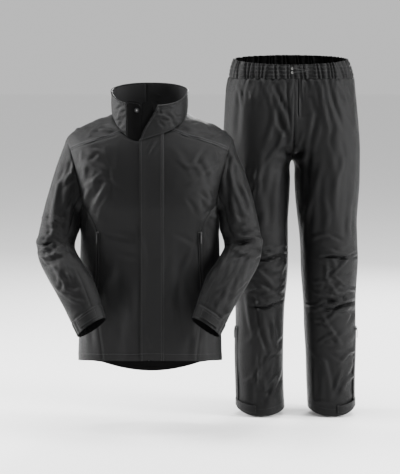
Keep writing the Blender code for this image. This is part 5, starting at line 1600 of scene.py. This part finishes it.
panels["lining"] = panel("collar_lining_cloth", ("collar_lining",),
                         collar_grid(slice(0, -2), (0.10, *COLLAR_ROWS[1:3], 0.97), LINING_IN), None, lining_cloth,
                         step=FINE_STEP, seed=34, drift=0.0009, shaper=centre_seam)
# The placket and the zip garage take the darker copy of the cloth: painted shade inside the open collar
panels["placket"] = panel("collar_placket_cloth", ("collar_placket",),
                          band_in((*PLACKET_TURNS, 9), COLLAR_ROWS, PLACKET_RISE, 0.012), (0, -1, 0), shaded_placket_cloth,
                          step=0.0026, raised=(("top", 0.005, 0.0004),), seed=35, drift=0.0005)
panels["garage"] = panel("zip_garage_cloth", ("zip_garage",),
                         band_in((*GARAGE_TURNS, 7), COLLAR_ROWS, PLACKET_RISE, 0.008), (0, -1, 0), shaded_placket_cloth,
                         step=0.0026, seed=36, drift=0.0004)

# Rolled edge along the collar's top
line, faces = follow(*panels["collar"], "top", 0.0006)
rod("collar_roll", line, faces, 0.0022, 0.0028, [black_shell])

# Zips
panels["zip"] = panel("front_zip_tape", ("front_zip",), zip_grid(fronts["right"], fronts["left"]), (0, -1, 0),
                      tape_cloth, step=0.004, seed=37, drift=0.0001)
middle = panels["zip"][0].shape[0] // 2
zip_teeth("front_zip_teeth", panels["zip"][0][middle], panels["zip"][1][middle], 0.0012, [teeth_plastic])


def inset_zip(name, node, strip, guide, garment_name, puller, tape):
    """Dress a zip that is set into the cloth: tape, teeth, two piped lips, slider, pull and bar tacks."""
    points, faces = panel(f"{name}_tape", (node,), strip, guide, tape, step=0.0024, seed=40,
                          drift=0.0)
    middle = points.shape[0] // 2
    zip_teeth(f"{name}_teeth", points[middle], faces[middle], 0.0009, [teeth_plastic])
    for tag, edge in (("front", "start"), ("back", "end")):
        line, ways = follow(points, faces, edge, 0.0016)
        rod(f"{name}_lip_{tag}", line, ways, 0.0014, 0.0010, [black_shell], lift=0.0006)
        sew(garment_name, *follow(points, faces, edge, 0.0003))
    for edge in ("foot", "top"):
        line, ways = follow(points, faces, edge, 0.0015)
        rod(f"{name}_tack_{edge}", line, ways, 0.0012, 0.0011, [thread], lift=0.0014)
    place = points[middle][-4] + faces[middle][-4] * 0.0032
    turn = math.atan2(faces[middle][-4][0], -faces[middle][-4][1])
    cushion_block(f"{name}_slider", place, (0.0062, 0.0028, 0.0090), 0, turn, [teeth_plastic], 0.0009)
    below = place + np.array((0, 0, -0.016)) + faces[middle][-4] * 0.0012
    cushion_block(f"{name}_pull", below, (0.0044, 0.0018, 0.024), 0, turn, [puller], 0.0007)


for side, hand in ((-1, "right"), (1, "left")):
    ends = [(z - FRONT_HEM) / (CHEST - FRONT_HEM) * BODY_ROWS for z in (WELT_FOOT, WELT_TOP)]
    strip = lie_on(fronts[hand], WELT_COLUMNS, steps(*ends), STEP_OUT, (0, -1, 0))
    inset_zip(f"pocket_{hand}", f"pocket_zip_{hand}", strip, (0, -1, 0), "jacket", pull_rubber, tape_cloth)

# Trousers
FLY_STRIPS = ((0.4340, 0.0042, 0.0016), (0.4490, 0.0020, -0.0020), (0.4530, 0.0022, 0.0016), (0.4575, 0.0020, -0.0018))
FLY_TOP, FLY_FOOT = 0.112, 0.000


CENTRE_SEAM = 0.4360
FORK_DEPTH = TROUSERS_Y - 0.0002


def leg_shape(way):
    """Gather a leg's cloth under the waistband, fold the fly's strip, and draw the crotch seam together."""
    def shape(base, points, faces, run):
        points = waist_fan(base, points, faces, run)
        z = base[..., 2]
        low = 1 - smooth(z, CROTCH - 0.0035, CROTCH + 0.046)
        points[..., 1] += (FORK_DEPTH - base[-1:, :, 1]) * low * np.exp(-(run["end"] / 0.045) ** 2)
        meet = CENTRE_SEAM - way * (0.0002 + 0.0007 * np.abs(faces[-1:, :, 0]))
        above = smooth(z, CROTCH - 0.0085, CROTCH - 0.0030)
        points[..., 0] += (meet - points[-1:, :, 0]) * above * np.exp(-(run["end"] / 0.016) ** 2)
        return points
    return shape


def waist_fan(base, points, faces, run):
    """Gather the cloth under the waistband, and fold the fly's strip down the front."""
    across = run["start"]
    wave = 0.6 * np.sin(2 * np.pi * across / 0.0195 + 1.6 * np.sin(across * 52)) + 0.4 * np.sin(
        2 * np.pi * across / 0.033 + 2.0)
    size = 0.65 + 0.35 * np.sin(across * 37 + 2.0)
    reach = np.exp(-run["foot"] / (0.026 + 0.016 * np.sin(across * 71 + 1.0)))
    out = 0.0042 * wave * size * reach
    front = smooth(-faces[..., 1], 0.3, 0.6)
    for x, width, height in FLY_STRIPS:
        along = smooth(base[..., 2], FLY_FOOT - 0.012, FLY_FOOT + 0.012)
        out = out + height * np.exp(-((base[..., 0] - x) / width) ** 2) * along * front
    mark = np.exp(-((base[..., 2] + 0.003) / 0.0022) ** 2) * smooth(base[..., 0], 0.452, 0.457) * (
        1 - smooth(base[..., 0], 0.476, 0.484))
    return points + faces * (out - 0.0020 * mark * front)[..., None]


legs = {}
for hand in ("right", "left"):
    for face in ("front", "back"):
        legs[hand, face] = leg_grid(hand, face)
        table, way = ((trouser_front_creases, FRONT_WAY) if face == "front" else (trouser_back_creases, BACK_WAY))
        panels[f"leg_{face}_{hand}"] = panel(
            f"trouser_{face}_{hand}_cloth", (f"trouser_{face}_{hand}",), legs[hand, face],
            (0, -1 if face == "front" else 1, 0), black_shell, backing, step=0.0048,
            sunk=("start", "end", "foot"), raised=(("top", 0.024, 0.0004),), shapes=((table, way, 1.4), (leg_creases, way, 1.0)),
            seed=50 + 2 * len(legs), drift=0.0016,
            loose=("foot",), shaper=leg_shape(1 if hand == "right" else -1),
            meeting=0.0030 if hand == "right" else -0.0030)
    leg = legs[hand, "front"]
    rows = steps(*(row_of(z) for z in HEM_TAB_HEIGHTS[::-1]))
    tab = lie_on(leg, steps(*HEM_TAB_COLUMNS), rows, 2 * STEP_OUT, (0, -1, 0))
    panels["hem_tab_" + hand] = panel(f"hem_tab_{hand}_cloth", (f"hem_tab_{hand}",), tab, (0, -1, 0), black_shell,
                                      step=0.0022, seed=60, drift=0.0001)
    rows = steps(*(row_of(z) for z in LEG_ZIP_HEIGHTS[::-1]))
    strip = lie_on(leg, steps(*LEG_ZIP_COLUMNS), rows, STEP_OUT, (0, -1, 0))
    inset_zip(f"ankle_{hand}", f"leg_zip_{hand}", strip[:, ::-1], (0, -1, 0), "trousers", pull_rubber, black_shell)

# Waistband: an elastic tunnel, gathered between its rows of stitching
ELASTIC_ROWS = (0.0035, 0.0150, 0.0270, 0.0385)


def gathers(base, points, faces, run):
    """Pull the band's cloth into uneven gathers, puffed between the rows of stitching."""
    n, m = base.shape[:2]
    turn = np.arange(n)[:, None] / n
    rise = run["foot"]
    dice = np.random.default_rng(5)
    phase = 62 * turn + 0.35 * np.sin(2 * np.pi * 9 * turn) + 0.25 * np.sin(2 * np.pi * 23 * turn + 1.0)
    lean = np.interp(turn[:, 0] * 62, np.arange(63), dice.uniform(-14, 14, 63))[:, None] * (rise - 0.022)
    size = np.interp(turn[:, 0] * 62, np.arange(63), dice.uniform(0.65, 1.0, 63))[:, None]
    wave = np.cos(2 * np.pi * (phase + lean))
    sharp = np.sign(wave) * np.abs(wave) ** 0.8
    puff = np.ones((n, m))
    for row in ELASTIC_ROWS:
        puff = puff - 0.55 * np.exp(-((rise - row) / 0.0022) ** 2)
    calm = 1 - 0.5 * bump(np.minimum(turn, 1 - turn), 0.03)
    swell = 0.0014 * np.sin(np.pi * np.clip(rise / rise.max(), 0, 1))
    out = (0.0030 * sharp * size * puff * calm) + swell * puff
    return points + faces * out[..., None]


def band_base():
    """The waistband's grid without its gathers."""
    grid = []
    rings = [(rise, waist_ring(rise)) for rise in (0.0, 0.5, 1.0)]
    for share in np.arange(120) / 120:
        column = []
        for rise, (x, y, length, middle) in rings:
            at = np.interp(share * length[-1], length, x), np.interp(share * length[-1], length, y)
            turn = np.arctan2(abs(at[0] - middle) / 0.19, -at[1] / 0.10)
            foot, top = three(BAND_FOOT, turn) + SEAM, three(BAND_TOP, turn)
            column.append((at[0], TROUSERS_Y + at[1], foot + (top - foot) * rise))
        grid.append(column)
    return np.array(grid)


panels["band"] = panel("waistband_cloth", ("waistband",), band_base(), None, black_shell, backing, step=0.0030,
                       around=True, sunk=("foot",), seed=70, drift=0.0004, fullness=1.35, columns=744,
                       shaper=gathers)

# Stitching
yoke, yoke_faces = panels["yoke"]
for edge in ("start", "end"):
    for offset in (0.0022, 0.0088):
        sew("yoke", *follow(yoke, yoke_faces, edge, offset))
for offset in (0.0022, 0.0088):
    line, ways = follow(yoke, yoke_faces, "top", offset)
    back = (line[:, 1] > 0.055) & (np.abs(line[:, 0]) < 0.222)
    sew("yoke", line[back], ways[back])
for name in ("front_right", "front_left", "side_right", "side_left", "back"):
    sew("jacket", *follow(*panels[name], "foot", 0.0200))
sew("jacket", *follow(*panels["flap"], "start", 0.0060))
for offset in (0.0020, 0.0085):
    sew("jacket", *follow(*panels["flap"], "end", offset))
sew("jacket", *follow(*panels["flap"], "foot", 0.0200))
sew("jacket", *follow(*panels["collar"], "top", 0.0100))
sew("jacket", *follow(*panels["collar"], "foot", 0.0030))
sew("jacket", *follow(*panels["collar"], "end", 0.0060))
sew("jacket", *follow(*panels["placket"], "top", 0.0050))
sew("jacket", *follow(*panels["placket"], "start", 0.0040))
for hand in ("right", "left"):
    sew("jacket", *follow(*panels["cuff_" + hand], "foot", 0.0030, True))
    sew("jacket", *follow(*panels["cuff_" + hand], "top", 0.0050, True))
    for edge in ("start", "end", "foot", "top"):
        sew("jacket", *follow(*panels["cuff_tab_" + hand], edge, 0.0022))
        sew("trousers", *follow(*panels["hem_tab_" + hand], edge, 0.0022))
    for face in ("front", "back"):
        points, ways = panels[f"leg_{face}_{hand}"]
        sew("trousers", *follow(points, ways, "top", 0.0230))
        line, along = follow(points, ways, "end", 0.0035)
        rise_part = line[:, 2] > CROTCH + 0.02
        sew("trousers", line[rise_part], along[rise_part])
    points, ways = panels[f"leg_front_{hand}"]
    sew("trousers", *follow(points, ways, "start", 0.0040))
for row in ELASTIC_ROWS:
    sew("trousers", *follow(*panels["band"], "foot", row, True))
# The yoke's stitches take the lighter thread, a painted highlight; all other stitches take the dark sewing thread
for garment_name, rows in threads.items():
    places, ahead, ways = (np.concatenate([row[k] for row in rows]) for k in range(3))
    bars(f"{garment_name}_stitches", places, ahead, ways, (THREAD_LENGTH, THREAD_WIDTH, 0.00040),
         [yoke_highlight_thread if garment_name == "yoke" else thread])

# Stud, eyelets and cord
turn = np.radians(STUD[0])
way = Vector((np.sin(turn), -np.cos(turn), 0.05)).normalized()
place = Vector(neck_point(*STUD)) + way * (0.0009 + STUD_HEIGHT / 2 + 0.0012)
pressed_ring("placket_snap", "placket_stud", STUD_RADIUS, 0.22, STUD_HEIGHT, (dark_steel, stud_steel), place, way)
for name, (x, z) in zip(("eyelet_upper", "eyelet_lower"), EYELETS):
    pressed_ring(f"waist_{name}", name, EYELET_RADIUS, 0.20, EYELET_HEIGHT, (stud_steel, dark_steel),
                 (x, ring_of(z) - 0.0030, z), (0, -1, 0))
route = np.array([(x, ring_of(z) - (0.0052 if k in (0, len(CORD_LOOP) - 1) else 0.0062), z)
                  for k, (x, z) in enumerate(CORD_LOOP)])
along = np.concatenate(((0,), np.cumsum(np.linalg.norm(np.diff(route, axis=0), axis=1))))
fine_route = spread(route[:, None, :], along, np.linspace(0, along[-1], 60))[:, 0]
ways = np.tile(np.array((0.0, -1.0, 0.0)), (60, 1))
cord = rod("waist_draw_cord", fine_route, ways, CORD_RADIUS, CORD_RADIUS, [cord_braid],
           nodes=("waist_cord",))

# Floor, light and camera
bpy.ops.object.select_all(action="DESELECT")
bpy.ops.mesh.primitive_plane_add(size=60, location=(0, 0, solid_box[0][2] - 0.004))
floor = bpy.context.object
floor.name = "Studio_floor"
pale = Paint("Pale floor", 0.85)
pale.shader.inputs["Base Color"].default_value = (0.93, 0.93, 0.93, 1.0)
floor.data.materials.append(pale.material)
world = bpy.data.worlds.new("Studio")
world.use_nodes = True
world.node_tree.nodes["Background"].inputs[0].default_value = (1.0, 1.0, 1.0, 1.0)
world.node_tree.nodes["Background"].inputs[1].default_value = 0.72
bpy.context.scene.world = world


def softbox(name, place, aim, width, height, power):
    """Hang one soft light."""
    lamp = bpy.data.lights.new(name, "AREA")
    lamp.shape = "RECTANGLE"
    lamp.size, lamp.size_y, lamp.energy = width, height, power
    holder = bpy.data.objects.new(name, lamp)
    holder.location = place
    holder.rotation_euler = (Vector(aim) - Vector(place)).to_track_quat("-Z", "Y").to_euler()
    bpy.context.scene.collection.objects.link(holder)


softbox("Left_softbox", (-2.6, 0.5, 0.6), (0.1, 0.0, -0.30), 1.0, 2.2, 210)
softbox("Right_softbox", (3.3, -0.9, 0.8), (0.3, 0.1, -0.35), 0.9, 2.0, 230)
softbox("Top_softbox", (0.2, -0.2, 4.2), (0.2, 0.1, -0.2), 4.0, 3.0, 460)
softbox("Back_softbox", (1.2, 3.2, 1.2), (0.2, 0.0, -0.35), 1.2, 1.6, 120)

lens = bpy.data.cameras.new("Camera")
lens.lens = 151.9
lens.sensor_width = 36.0
lens.clip_end = 100.0
camera = bpy.data.objects.new("Camera", lens)
camera.location = (0.15, -6 * math.cos(math.radians(6)), -0.357 + 6 * math.sin(math.radians(6)))
camera.rotation_euler = (math.radians(84), 0, 0)
bpy.context.scene.collection.objects.link(camera)
bpy.context.scene.camera = camera
